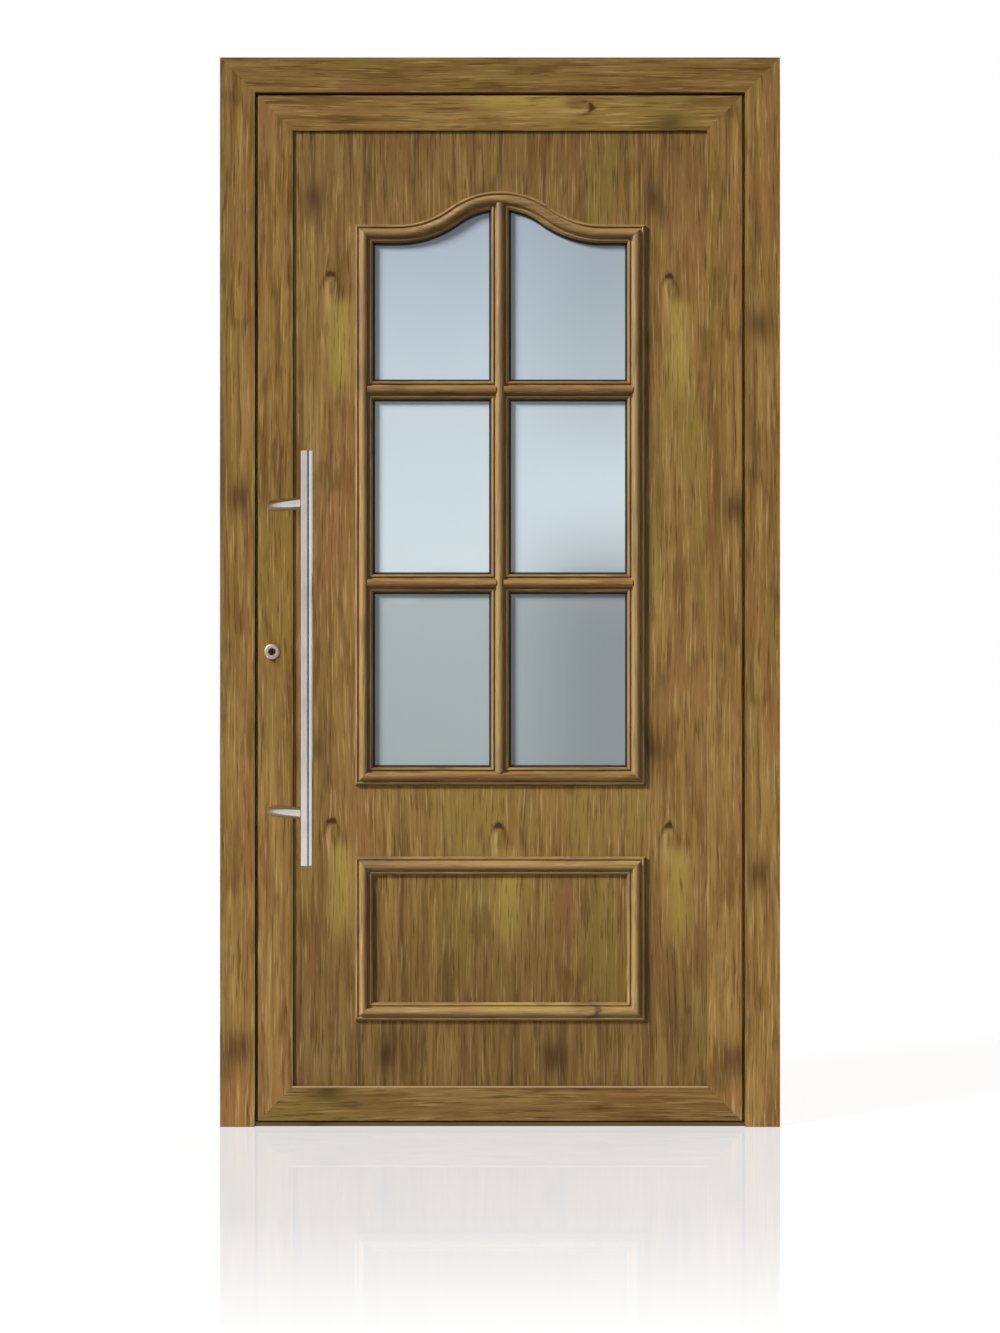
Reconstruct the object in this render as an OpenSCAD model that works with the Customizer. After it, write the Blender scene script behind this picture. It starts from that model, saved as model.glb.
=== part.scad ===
// Panelled front door with its frame. X runs to the right seen from outside, Y into the house, Z up.
// The origin lies on the floor, in the middle of the doorway and of the frame's depth.
// Profiles are drawn as (u, v): u runs from the frame's outer side inwards, v is the depth along Y.

/* [Frame] */
// Overall width of the frame
frame_w = 1100; // [960:10:1250]
// Overall height of the frame
frame_h = 2100; // [1980:10:2300]
// Depth of frame and leaf
frame_d = 75; // [72:1:90]
// Width of the frame's outside face
frame_face = 69; // [66:1:80]
// Width of the frame behind its lip
frame_body = 50; // [46:1:54]
// Depth of the frame's outside lip
frame_lip = 24; // [20:1:26]
// Wall of the hollow profiles
profile_wall = 3; // [2:0.25:3.5]
// Radius of the profiles' outside edges
edge_r = 1.5; // [0.5:0.25:2.5]
// Gap between frame and leaf on the outside face
face_gap = 6; // [5:0.5:8]
// Gap between the leaf's tongue and the frame
rebate_gap = 5; // [4.5:0.5:7]
// Gap between the frame's lip and the leaf's tongue
seal_gap = 4.5; // [3:0.5:6]
// Width of the rebate gasket
seal_w = 6; // [4:0.5:7]
// Height of the threshold
threshold_h = 8; // [5:0.5:10]
// Setback of the threshold's front edge behind the outside face
threshold_setback = 8; // [4:1:14]

/* [Leaf] */
// Height of the leaf's underside above the floor
leaf_bottom = 12; // [11:0.5:20]
// Width of the flat outside face of stiles and rails
leaf_face = 60; // [54:1:70]
// Width of the bevel beside the panel
bevel_w = 8; // [5:0.5:12]
// Depth of the bevel
bevel_d = 3.5; // [2:0.25:4]
// Width of the leaf's hollow tube
leaf_tube = 42; // [41:0.5:50]
// Thickness of the flange that holds the panel
flange_t = 4.5; // [4.25:0.25:6]
// Width of the hardware groove in the leaf's edge
groove_w = 20; // [18:0.5:24]
// Depth of the hardware groove
groove_d = 10; // [8:0.5:11]
// Thickness of the infill panel
panel_t = 36; // [30:1:38]
// Gap round the edge of the infill panel
panel_clear = 4.5; // [2:0.5:6]
// Thickness of the panel gaskets
gasket_t = 3; // [2:0.25:4]
// Width of the panel gaskets
gasket_w = 10; // [6:0.5:12]
// Width of the inside glazing beads
bead_w = 22; // [18:0.5:26]
// Length of a setting block
block_len = 100; // [60:5:140]
// Width of the bottom seal
bottom_seal_w = 10; // [6:0.5:16]

/* [Window and trims] */
// Outer width of the window trim and of the lower trim
window_w = 570; // [500:2:640]
// Height of the window trim's lower edge
window_bottom = 671; // [600:1:740]
// Distance from the arch's peak up to the top rail
window_top_margin = 119; // [80:1:160]
// Rise of the arch over its shoulders
arch_rise = 66; // [50:1:80]
// Half the width of the arch between its shoulders
arch_run = 202; // [190:1:225]
// Outer radius of the arch's peak
arch_radius = 169; // [150:1:185]
// Height from one row of crossbars to the next, as a share of the window's height
row_share = 0.335; // [0.3:0.005:0.345]
// Height of the lower trim's lower edge
lower_bottom = 209; // [160:1:240]
// Height of the lower trim
lower_h = 321.5; // [260:0.5:350]
// Width of the trim moulding
trim_w = 35; // [33:0.5:40]
// Height of the trim moulding
trim_h = 15; // [12:0.5:18]
// Thickness of the trim's flat base
trim_base = 5.5; // [4:0.25:6]
// Width of the moulding's crown
crown_w = 14; // [11:0.5:14.5]
// Rise of the crown's dome
crown_rise = 3.5; // [2:0.25:4.5]
// Width of the moulding's beads
trim_bead = 5; // [4:0.25:6]
// Height of the moulding's beads
trim_bead_h = 8; // [7:0.25:9]
// Flat edge beside the beads
trim_edge = 1.5; // [1:0.25:2.5]
// Gap between the ends of two trim lengths
mitre_gap = 0.2; // [0.1:0.05:0.5]
// Overlap of the trims on the panel
trim_lap = 12; // [8:0.5:13]
// Gap between the glass and the panel's cut-out
glass_clear = 3; // [2:0.5:4]
// Thickness of a glass pane
pane_t = 4; // [3:0.5:6]
// Width of the spacer between the panes
spacer_w = 12; // [8:0.5:14]
// Thickness of the glazing tapes
tape_t = 3; // [2:0.25:4]
// Width of the glazing tapes
tape_w = 12; // [8:0.5:14]

/* [Hinges] */
// Height of the lowest hinge's middle
hinge_low = 230; // [180:5:300]
// Height of the middle hinge's middle
hinge_mid = 1020; // [900:5:1150]
// Distance from the frame's top down to the highest hinge's middle
hinge_from_top = 300; // [240:5:400]
// Length of a hinge barrel
hinge_len = 120; // [105:3:150]
// Distance of the hinge axis from the inside face
hinge_out = 12; // [11.5:0.25:15]
// Diameter of the hinge barrel
barrel_d = 20; // [18:0.5:22]
// Diameter of the hinge pin
pin_d = 10; // [8:0.25:11]
// Width of a hinge wing
wing_w = 34; // [32:1:38]
// Thickness of a hinge wing
wing_t = 4; // [3:0.25:5]
// Distance from the hinge axis to a wing's near edge
wing_near = 8; // [7:0.25:9]

/* [Pull bar] */
// Length of the pull bar with its caps
pull_len = 800; // [500:10:1000]
// Height of the pull bar's lower end
pull_bottom = 520; // [450:5:560]
// Diameter of the pull bar
pull_d = 26; // [25:0.5:30]
// Wall of the pull bar
pull_wall = 2; // [1.5:0.25:3]
// Thickness of the bar's end caps
pull_cap = 3; // [2:0.5:6]
// Distance between the supports
support_pitch = 600; // [320:10:640]
// Diameter of the supports
support_d = 24; // [20:0.5:24.5]
// Distance of the bar's axis from the leaf's face
standoff = 67; // [55:1:80]
// Diameter of the supports' fixing bolts
support_bolt_d = 6; // [5:0.5:6]

/* [Lock] */
// Height of the lock cylinder's axis
cylinder_z = 933; // [900:1:980]
// Distance from the leaf's tongue to the cylinder's axis
backset = 48; // [44:0.5:49]
// Diameter of the cylinder's round part
cylinder_d = 17; // [16:0.25:17.5]
// Width of the cylinder's lower part
cylinder_foot_w = 10; // [9:0.25:11]
// Distance from the cylinder's axis to its lower end
cylinder_drop = 24; // [22:0.5:25]
// Diameter of the turning plug
plug_d = 13; // [12:0.25:13.5]
// Diameter of the outside cylinder rosette
rosette_d = 31; // [29:0.5:33]
// Diameter of the inside cylinder rosette
rosette_inside_d = 28; // [26:0.5:28]
// Thickness of the cylinder rosettes
rosette_t = 7; // [4:0.5:10]
// Diameter of the hole in the cylinder rosettes
rosette_bore = 15; // [14.5:0.25:16]
// Depth of the lock's middle plane behind the tongue's front
lock_depth = 23; // [20:0.5:26]
// Thickness of the lock case
case_t = 15; // [14:0.5:17]
// Depth of the lock case behind the faceplate
case_d = 55; // [54:0.25:55.5]
// Height of the lock case under the cylinder's axis
case_below = 63; // [50:1:80]
// Height of the lock case over the cylinder's axis
case_above = 137; // [132:1:150]
// Thickness of the faceplate
faceplate_t = 3; // [2:0.25:4]
// Height of the lower auxiliary bolt
aux_low = 350; // [320:5:420]
// Distance from the frame's top down to the upper auxiliary bolt
aux_from_top = 450; // [440:5:520]
// Diameter of the auxiliary bolts
aux_d = 11; // [9:0.5:12]
// Height of an auxiliary lock case
aux_case_h = 100; // [60:5:120]
// Depth of an auxiliary lock case
aux_case_d = 45; // [42:0.5:50]
// Travel of the dead bolts
bolt_throw = 20; // [15:0.5:22]
// Travel of the latch bolt
latch_throw = 12; // [8:0.5:14]
// Thickness of the main bolt
bolt_t = 12; // [10:0.25:12]
// Height of the main bolt
bolt_h = 28; // [20:0.5:32]
// Height of the latch bolt
latch_h = 18; // [14:0.5:20]
// Height of the main bolt's middle over the cylinder's axis
bolt_up = 45; // [42:0.5:48]
// Height of the lever's axis over the cylinder's axis
lever_up = 92; // [88:0.5:95]
// Height of the latch's middle over the cylinder's axis
latch_up = 115; // [112:0.5:118]
// Thickness of the drive rods
rod_t = 4; // [2:0.25:4.5]
// Width of the drive rods
rod_w = 10; // [6:0.5:14]
// Thickness of the strike plates
strike_t = 2; // [1.5:0.25:2.25]

/* [Lever] */
// Side of the square spindle
spindle_s = 8; // [7:0.25:8.25]
// Diameter of the lever
lever_d = 18; // [16:0.5:20]
// Length of the lever from its axis
lever_len = 125; // [100:1:150]
// Distance of the lever's grip from the inside face
lever_out = 50; // [44:1:65]
// Radius of the lever's bend
lever_bend = 16; // [12:0.5:20]
// Width of the lever's rosette
lever_rosette_w = 28; // [26:0.5:28]
// Height of the lever's rosette
lever_rosette_h = 64; // [50:1:80]
// Thickness of the lever's rosette
lever_rosette_t = 8; // [5:0.5:12]

/* [Fixings] */
// Diameter of the wall anchor holes
anchor_d = 10.5; // [8:0.5:13]
// Height of the lowest wall anchor
anchor_low = 200; // [150:5:260]
// Distance from the frame's top down to the highest anchor
anchor_from_top = 200; // [160:5:230]
// Length of a corner cleat's legs
cleat_len = 110; // [90:5:140]
// Thickness of a corner cleat
cleat_t = 12; // [6:0.5:14]
// Diameter of the plate screws
screw_d = 5; // [4:0.25:6]
// Diameter of the plate screws' heads
screw_head_d = 9; // [8:0.25:10]
// Height of the plate screws' heads
screw_head_h = 1.5; // [1:0.25:1.5]

/* [Hidden] */
$fn = 64;

// Small distances: cutters reach over, seats fit close, running parts clear each other
over = 1;
fit = 0.1;
clear = 0.3;
pin_clear = 0.05;

wood_colour = [0.55, 0.38, 0.2];
steel_colour = [0.74, 0.74, 0.73];
alloy_colour = [0.62, 0.62, 0.62];
rubber_colour = [0.1, 0.1, 0.1];
glass_colour = [0.72, 0.8, 0.84];
bronze_colour = [0.3, 0.23, 0.17];

// Frame and leaf section
half_w = frame_w / 2;
front = -frame_d / 2;
back = frame_d / 2;
lip_back = front + frame_lip;
tongue_front = lip_back + seal_gap;
nose_u = frame_face + face_gap;
tongue_u = frame_body + rebate_gap;
tube_u = nose_u + leaf_tube;
flat_u = nose_u + leaf_face;
sight_u = flat_u + bevel_w;
groove_u = tongue_u + groove_d;
chamber_v = tongue_front + profile_wall;
flange_back = front + flange_t;
panel_front = flange_back + gasket_t;
panel_back = panel_front + panel_t;
panel_mid = (panel_front + panel_back) / 2;
bead_front = panel_back + gasket_t;
lock_v = tongue_front + lock_depth;

// Heights and widths of leaf, panel and glass
leaf_half_w = half_w - nose_u;
sight_bottom = leaf_bottom + sight_u - nose_u;
sight_top = frame_h - sight_u;
panel_half_w = half_w - tube_u - panel_clear;
panel_bottom = leaf_bottom + leaf_tube + panel_clear;
panel_top = frame_h - tube_u - panel_clear;
glass_front = panel_front + tape_t;
glass_back = panel_back - tape_t;
glass_inset = trim_lap + glass_clear;
tape_inset = glass_inset + over;

// Arch of the window: two tangent arcs on each side
arch_peak = sight_top - window_top_margin;
arch_shoulder = arch_peak - arch_rise;
arch_radii = (arch_run * arch_run + arch_rise * arch_rise) / (2 * arch_rise);
shoulder_radius = arch_radii - arch_radius;
arch_turn = asin(arch_run / arch_radii);
peak_centre = arch_peak - arch_radius;

// Moulding
trim_half = trim_w / 2;
crown_half = crown_w / 2;
dome_r = (crown_half * crown_half + crown_rise * crown_rise) / (2 * crown_rise);
dome_foot = trim_h - crown_rise;
bead_inner = trim_half - trim_edge - trim_bead;
cove_r = min(bead_inner - crown_half, dome_foot - trim_base);
cove_outer = crown_half + cove_r;
mitre_run = trim_half - crown_half;
window_half = window_w / 2;
pane_half = window_half - trim_w;
lower_top = lower_bottom + lower_h;
row_pitch = row_share * (arch_peak - window_bottom - trim_w);
rows = [for (i = [1, 2]) window_bottom + trim_half + i * row_pitch];

// Hinges
hinge_x = half_w - (frame_body + tongue_u) / 2;
hinge_y = back + hinge_out;
hinge_heights = [hinge_low, hinge_mid, frame_h - hinge_from_top];
barrel_r = barrel_d / 2;
knuckle = hinge_len / 3;
wing_screw_columns = [wing_near + wing_w * 0.4, wing_near + wing_w * 0.8];
wing_screw_row = knuckle - screw_head_d / 2;
screw_reach = profile_wall + screw_d;

// Pull bar; the heads of its bolts lie in the corner of the stile's chamber
bolt_head_h = support_bolt_d * 0.6;
bolt_head_r = support_bolt_d * 0.65;
foot_u = tube_u - profile_wall - bolt_head_r - clear;
foot_x = -half_w + foot_u;
bar_x = foot_x + standoff;
bar_y = front - standoff;
support_z = [for (s = [-1, 1]) pull_bottom + (pull_len + s * support_pitch) / 2];
support_run = standoff * sqrt(2);
support_bolt_reach = support_d / 2;

// Lock
cylinder_u = tongue_u + backset;
cylinder_x = -half_w + cylinder_u;
case_u = tongue_u + faceplate_t;
case_bottom = cylinder_z - case_below;
case_top = cylinder_z + case_above;
bolt_z = cylinder_z + bolt_up;
latch_z = cylinder_z + latch_up;
lever_z = cylinder_z + lever_up;
aux_high = frame_h - aux_from_top;
aux_heights = [aux_low, aux_high];
bolt_rest_u = tongue_u + 2 * clear;
bolt_len = bolt_throw * 2;
latch_t = bolt_t - over;
latch_len = latch_throw * 2;
rod_u = case_u + clear;
rod_gap = 5;
aux_case_half = aux_case_h / 2;
rod_spans = [
    [case_top + rod_gap, aux_high - aux_case_half - bolt_throw - rod_gap],
    [aux_low + aux_case_half + rod_gap, case_bottom - bolt_throw - rod_gap]
];
strike_margin = 18;
strike_clear = 1;
keyway_w = 2;
keyway_h = 8;
keyway_depth = 20;

// Wall anchors, evenly spaced up the jambs
anchor_v = lock_v;
anchor_pitch = (frame_h - anchor_from_top - anchor_low) / 3;
anchor_heights = [for (i = [0:3]) anchor_low + i * anchor_pitch];

// Profiles

// Waste outside a rounded corner at p; into points from the corner into the profile
module corner_waste(p, into) {
    difference() {
        translate([into.x > 0 ? p.x - over : p.x - edge_r, into.y > 0 ? p.y - over : p.y - edge_r])
            square(edge_r + over);
        translate(p + edge_r * into)
            circle(edge_r);
    }
}

module chamber(u0, v0, u1, v1) {
    translate([u0, v0])
        square([u1 - u0, v1 - v0]);
}

module frame_profile() {
    difference() {
        union() {
            square_between([0, front], [frame_face, lip_back]);
            square_between([0, front], [frame_body, back]);
        }
        chamber(profile_wall, front + profile_wall, frame_face - profile_wall, lip_back - profile_wall);
        chamber(profile_wall, lip_back, frame_body - profile_wall, back - profile_wall);
        corner_waste([0, front], [1, 1]);
        corner_waste([frame_face, front], [-1, 1]);
        corner_waste([0, back], [1, -1]);
        corner_waste([frame_body, back], [-1, -1]);
    }
}

module square_between(low, high) {
    translate(low)
        square(high - low);
}

module leaf_profile(with_tongue) {
    inner_u = with_tongue ? groove_u + profile_wall : nose_u + profile_wall;
    difference() {
        union() {
            square_between([nose_u, front], [tube_u, back]);
            if (with_tongue)
                square_between([tongue_u, tongue_front], [nose_u + over, back]);
            polygon([
                [tube_u - over, front], [flat_u, front], [sight_u, front + bevel_d],
                [sight_u, flange_back], [tube_u - over, flange_back]
            ]);
        }
        chamber(nose_u + profile_wall, front + profile_wall, tube_u - profile_wall, tongue_front);
        chamber(inner_u, chamber_v, tube_u - profile_wall, back - profile_wall);
        corner_waste([nose_u, front], [1, 1]);
        if (with_tongue) {
            square_between([tongue_u - over, lock_v - groove_w / 2], [groove_u, lock_v + groove_w / 2]);
            corner_waste([tongue_u, back], [1, -1]);
        }
    }
}

module bead_profile() {
    difference() {
        polygon([
            [tube_u, bead_front], [tube_u + bead_w, bead_front],
            [tube_u + bead_w, bead_front + profile_wall], [tube_u + bead_w * 0.7, back],
            [tube_u, back]
        ]);
        chamber(
            tube_u + profile_wall, bead_front + profile_wall,
            tube_u + bead_w * 0.7 - profile_wall, back - profile_wall
        );
    }
}

// Base and domed crown in the middle, then on each side a cove and a bead
module moulding_profile() {
    square_between([-trim_half, 0], [trim_half, trim_base]);
    square_between([-crown_half, 0], [crown_half, dome_foot]);
    intersection() {
        square_between([-crown_half, dome_foot - over], [crown_half, trim_h]);
        translate([0, trim_h - dome_r])
            circle(dome_r);
    }
    for (side = [0, 1])
        mirror([side, 0]) {
            difference() {
                square_between([crown_half - over, trim_base - over], [cove_outer, trim_base + cove_r]);
                translate([cove_outer, trim_base + cove_r])
                    circle(cove_r);
            }
            translate([bead_inner, 0])
                square([trim_bead, trim_bead_h - trim_bead / 2]);
            translate([bead_inner + trim_bead / 2, trim_bead_h - trim_bead / 2])
                circle(trim_bead / 2);
        }
}

// Placing of profiles and mitres

module at_lock_side() {
    translate([-half_w, 0, 0])
        children();
}

module at_hinge_side() {
    mirror([1, 0, 0])
        at_lock_side()
            children();
}

module upright(height) {
    linear_extrude(height)
        children();
}

module along_top() {
    translate([0, 0, frame_h])
        rotate([0, 90, 0])
            linear_extrude(frame_w, center = true)
                children();
}

module along_leaf_bottom() {
    translate([0, 0, leaf_bottom - nose_u])
        mirror([0, 0, 1])
            rotate([0, 90, 0])
                linear_extrude(frame_w, center = true)
                    children();
}

// Keeps what lies in front of and behind the outline, drawn as (x, z)
module within(outline) {
    intersection() {
        children();
        rotate([90, 0, 0])
            linear_extrude(2 * frame_d, center = true)
                polygon(outline);
    }
}

// Outline of an upright member, as (u, z), mitred at its top
function jamb_outline() = [[0, 0], [0, frame_h], [frame_face, frame_h - frame_face], [frame_face, 0]];

function head_outline(u0, u1) = [
    [-half_w + u0, frame_h - u0], [half_w - u0, frame_h - u0],
    [half_w - u1, frame_h - u1], [-half_w + u1, frame_h - u1]
];

function leaf_foot(u) = leaf_bottom + u - nose_u;

function stile_outline(u0, u1) = [
    [u0, max(leaf_bottom, leaf_foot(u0))], [max(u0, nose_u), max(leaf_bottom, leaf_foot(u0))],
    [u1, leaf_foot(u1)], [u1, frame_h - u1], [u0, frame_h - u0]
];

function foot_rail_outline(u0, u1) = [
    [-half_w + u0, leaf_foot(u0)], [half_w - u0, leaf_foot(u0)],
    [half_w - u1, leaf_foot(u1)], [-half_w + u1, leaf_foot(u1)]
];

// A flat frame of one piece between two insets, standing in the XZ plane
module panel_ring(half, bottom, top, width, v0, v1) {
    translate([0, v1, 0])
        rotate([90, 0, 0])
            linear_extrude(v1 - v0)
                difference() {
                    square_between([-half, bottom], [half, top]);
                    square_between([-half + width, bottom + width], [half - width, top - width]);
                }
}

// Window outline, inset from the outer edge of the trim
module arched_outline(inset) {
    turn_x = (arch_radius - inset) * sin(arch_turn);
    turn_z = peak_centre + (arch_radius - inset) * cos(arch_turn);
    shoulder = arch_shoulder - inset;
    square_between([-window_half + inset, window_bottom + inset], [window_half - inset, shoulder]);
    difference() {
        square_between([-arch_run, shoulder - trim_w], [arch_run, turn_z]);
        for (side = [-1, 1])
            translate([side * arch_run, arch_shoulder + shoulder_radius])
                circle(shoulder_radius + inset);
    }
    intersection() {
        translate([0, peak_centre])
            circle(arch_radius - inset);
        square_between([-turn_x, peak_centre], [turn_x, arch_peak]);
    }
}

module arched_plate(v0, v1, inset) {
    translate([0, v1, 0])
        rotate([90, 0, 0])
            linear_extrude(v1 - v0)
                arched_outline(inset);
}

module arched_ring(v0, v1, inset, width) {
    translate([0, v1, 0])
        rotate([90, 0, 0])
            linear_extrude(v1 - v0)
                difference() {
                    arched_outline(inset);
                    arched_outline(inset + width);
                }
}

// Trims, drawn flat: X to the right, Y up, Z out of the panel

module on_outside() {
    translate([0, panel_front, 0])
        rotate([90, 0, 0])
            children();
}

module on_inside() {
    translate([0, 2 * panel_mid, 0])
        mirror([0, 1, 0])
            on_outside()
                children();
}

module moulding(length) {
    translate([0, length, 0])
        rotate([90, 0, 0])
            linear_extrude(length)
                moulding_profile();
}

module moulding_up(x, y0, y1) {
    translate([x, y0, 0])
        moulding(y1 - y0);
}

module moulding_across(y, x0, x1) {
    translate([x0, y, 0])
        rotate([0, 0, -90])
            moulding(x1 - x0);
}

module trim_prism(outline) {
    linear_extrude(trim_h + over)
        polygon(outline);
}

module cut_to(outline) {
    intersection() {
        children();
        trim_prism(outline);
    }
}

// Upright trim on the left side of a frame of half width half, mitred at both ends
module trim_side(half, bottom, top) {
    low = bottom + mitre_gap;
    high = top - mitre_gap;
    cut_to([[-half, low], [-half + trim_w, low + trim_w], [-half + trim_w, high - trim_w], [-half, high]])
        moulding_up(-half + trim_half, bottom, top);
}

// Trim along the bottom of such a frame
module trim_foot(half, bottom) {
    cut_to([[-half, bottom], [half, bottom], [half - trim_w, bottom + trim_w], [-half + trim_w, bottom + trim_w]])
        moulding_across(bottom + trim_half, -half, half);
}

module trim_arch_flat() {
    shoulder_y = arch_shoulder - trim_half;
    peak_turn = arch_turn - asin(mitre_gap / arch_radius);
    for (side = [0, 1])
        mirror([side, 0, 0]) {
            cut_to([
                [-window_half, arch_shoulder], [-arch_run, arch_shoulder],
                [-arch_run, arch_shoulder - trim_w], [-window_half + trim_w, arch_shoulder - trim_w]
            ])
                moulding_across(shoulder_y, -window_half, -arch_run + over);
            translate([-arch_run, arch_shoulder + shoulder_radius, 0])
                rotate_extrude(angle = arch_turn, start = -90)
                    translate([shoulder_radius + trim_half, 0])
                        moulding_profile();
        }
    translate([0, peak_centre, 0])
        rotate_extrude(angle = 2 * peak_turn, start = 90 - peak_turn)
            translate([arch_radius - trim_half, 0])
                moulding_profile();
}

// Crossbars end in points that mitre with the beads of the trim and butt against its crown

function arch_inner(x, inset) = peak_centre + sqrt(pow(arch_radius - inset, 2) - x * x);

function upright_bar_outline() = [
    [-trim_half, window_bottom + trim_w], [-crown_half, window_bottom + trim_w - mitre_run],
    [crown_half, window_bottom + trim_w - mitre_run], [trim_half, window_bottom + trim_w],
    [trim_half, arch_inner(trim_half, trim_w)], [crown_half, arch_inner(crown_half, trim_half + crown_half)],
    [-crown_half, arch_inner(crown_half, trim_half + crown_half)], [-trim_half, arch_inner(trim_half, trim_w)]
];

function cross_bar_outline(y, gap) = [
    [-pane_half, y - trim_half], [-pane_half - mitre_run, y - crown_half],
    [-pane_half - mitre_run, y + crown_half], [-pane_half, y + trim_half],
    [-trim_half - gap, y + trim_half], [-crown_half - gap, y + crown_half],
    [-crown_half - gap, y - crown_half], [-trim_half - gap, y - trim_half]
];

module cross_bar_prisms() {
    for (side = [0, 1])
        mirror([side, 0, 0])
            for (y = rows)
                translate([0, 0, -over])
                    trim_prism(cross_bar_outline(y, 0));
}

module upright_bar_prism() {
    translate([0, 0, -over])
        trim_prism(upright_bar_outline());
}

// Foot of a crossbar, from the trim's base plane down to the glass
module bar_foot(low, high) {
    translate([0, 0, -tape_t])
        linear_extrude(tape_t)
            square_between(low, high);
}

module muntin_upright_flat() {
    top = arch_inner(trim_half, trim_w);
    difference() {
        cut_to(upright_bar_outline())
            moulding_up(0, window_bottom, arch_peak);
        cross_bar_prisms();
    }
    bar_foot([-trim_half, window_bottom + trim_w], [trim_half, top]);
}

module muntin_crosses_flat() {
    for (side = [0, 1])
        mirror([side, 0, 0])
            for (y = rows) {
                cut_to(cross_bar_outline(y, mitre_gap))
                    moulding_across(y, -window_half, 0);
                bar_foot([-pane_half, y - trim_half], [-trim_half - mitre_gap, y + trim_half]);
            }
}

module window_side_flat() {
    difference() {
        trim_side(window_half, window_bottom, arch_shoulder);
        cross_bar_prisms();
    }
}

module window_foot_flat() {
    difference() {
        trim_foot(window_half, window_bottom);
        upright_bar_prism();
    }
}

module window_arch_flat() {
    difference() {
        trim_arch_flat();
        upright_bar_prism();
    }
}

module lower_trim_flat() {
    for (side = [0, 1])
        mirror([side, 0, 0])
            trim_side(window_half, lower_bottom, lower_top);
    trim_foot(window_half, lower_bottom);
    translate([0, lower_bottom + lower_top, 0])
        mirror([0, 1, 0])
            trim_foot(window_half, lower_bottom);
}

// Shared hardware shapes

module plate_screw(reach) {
    cylinder(d = screw_head_d, h = screw_head_h);
    translate([0, 0, -reach])
        cylinder(d = screw_d, h = reach + over / 2);
}

module along_depth(y0, y1, d) {
    translate([0, y1, 0])
        rotate([90, 0, 0])
            cylinder(d = d, h = y1 - y0);
}

module at_wing_screws() {
    for (z = hinge_heights)
        for (column = wing_screw_columns)
            for (row = [-wing_screw_row, wing_screw_row])
                translate([hinge_x + column, back, z + row])
                    children();
}

module wing_screws() {
    at_wing_screws()
        translate([0, wing_t, 0])
            rotate([-90, 0, 0])
                plate_screw(wing_t + screw_reach);
}

module wing_screw_holes() {
    at_wing_screws()
        along_depth(-screw_reach, wing_t + over, screw_d + 2 * fit);
}

// One wing and its knuckles, drawn round the hinge axis with the wing on the right
module hinge_wing(knuckle_spans, bore) {
    difference() {
        union() {
            translate([wing_near, -hinge_out, -hinge_len / 2])
                cube([wing_w, wing_t, hinge_len]);
            for (span = knuckle_spans) {
                translate([0, 0, span[0]])
                    cylinder(d = barrel_d, h = span[1] - span[0]);
                translate([barrel_r / 2, -hinge_out, span[0]])
                    cube([wing_near + over - barrel_r / 2 + wing_t, hinge_out, span[1] - span[0]]);
            }
        }
        translate([0, 0, -hinge_len])
            cylinder(d = bore, h = 2 * hinge_len);
    }
}

module at_hinges() {
    for (z = hinge_heights)
        translate([hinge_x, hinge_y, z])
            children();
}

module mirrored_at_hinge() {
    translate([2 * hinge_x, 0, 0])
        mirror([1, 0, 0])
            children();
}

// Cylinder section, drawn in the XZ plane round the cylinder's axis
module cylinder_section(grow) {
    circle(d = cylinder_d + 2 * grow);
    translate([-cylinder_foot_w / 2 - grow, -cylinder_drop - grow])
        square([cylinder_foot_w + 2 * grow, cylinder_drop]);
}

module cylinder_shape(y0, y1, grow) {
    translate([cylinder_x, y1, cylinder_z])
        rotate([90, 0, 0])
            linear_extrude(y1 - y0)
                cylinder_section(grow);
}

// Domed ring round the cylinder, its flat side on the plane z = 0
module rosette(d, bore) {
    rotate_extrude()
        difference() {
            translate([bore / 2, 0])
                square([(d - bore) / 2, rosette_t]);
            difference() {
                translate([d / 2 - rosette_t / 2, rosette_t / 2])
                    square(rosette_t / 2 + over);
                translate([d / 2 - rosette_t / 2, rosette_t / 2])
                    circle(rosette_t / 2);
            }
        }
}

// A box from u0 to u1 on the lock side, centred on the lock's plane
module lock_box(u0, u1, thickness, z0, z1) {
    at_lock_side()
        translate([u0, lock_v - thickness / 2, z0])
            cube([u1 - u0, thickness, z1 - z0]);
}

module lock_rod(u0, u1, z, d) {
    at_lock_side()
        translate([u0, lock_v, z])
            rotate([0, 90, 0])
                cylinder(d = d, h = u1 - u0);
}

// Passage of all bolts through faceplate, strike or jamb
module bolt_passages(u0, u1, gap) {
    lock_box(u0, u1, bolt_t + 2 * gap, bolt_z - bolt_h / 2 - gap, bolt_z + bolt_h / 2 + gap);
    lock_box(u0, u1, latch_t + 2 * gap, latch_z - latch_h / 2 - gap, latch_z + latch_h / 2 + gap);
    for (z = aux_heights)
        lock_rod(u0, u1, z, aux_d + 2 * gap);
}

module anchor_holes() {
    for (z = anchor_heights)
        translate([-over, anchor_v, z])
            rotate([0, 90, 0])
                cylinder(d = anchor_d, h = frame_face + 2 * over);
}

module at_support_bolts() {
    for (z = support_z)
        translate([foot_x, 0, z])
            children();
}

// Strike screws sit above and below the passages
strike_spans = [
    [bolt_z - bolt_h / 2 - strike_margin, latch_z + latch_h / 2 + strike_margin],
    for (z = aux_heights) [z - aux_d / 2 - strike_margin, z + aux_d / 2 + strike_margin]
];
strike_screw_inset = screw_head_d / 2 + over;

module at_strike_screws() {
    for (span = strike_spans)
        for (z = [span[0] + strike_screw_inset, span[1] - strike_screw_inset])
            translate([-half_w + frame_body, lock_v, z])
                children();
}

module strike_screw_holes() {
    at_strike_screws()
        translate([-screw_reach - over, 0, 0])
            rotate([0, 90, 0])
                cylinder(d = screw_d + 2 * fit, h = screw_reach + strike_t + 2 * over);
}

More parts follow.
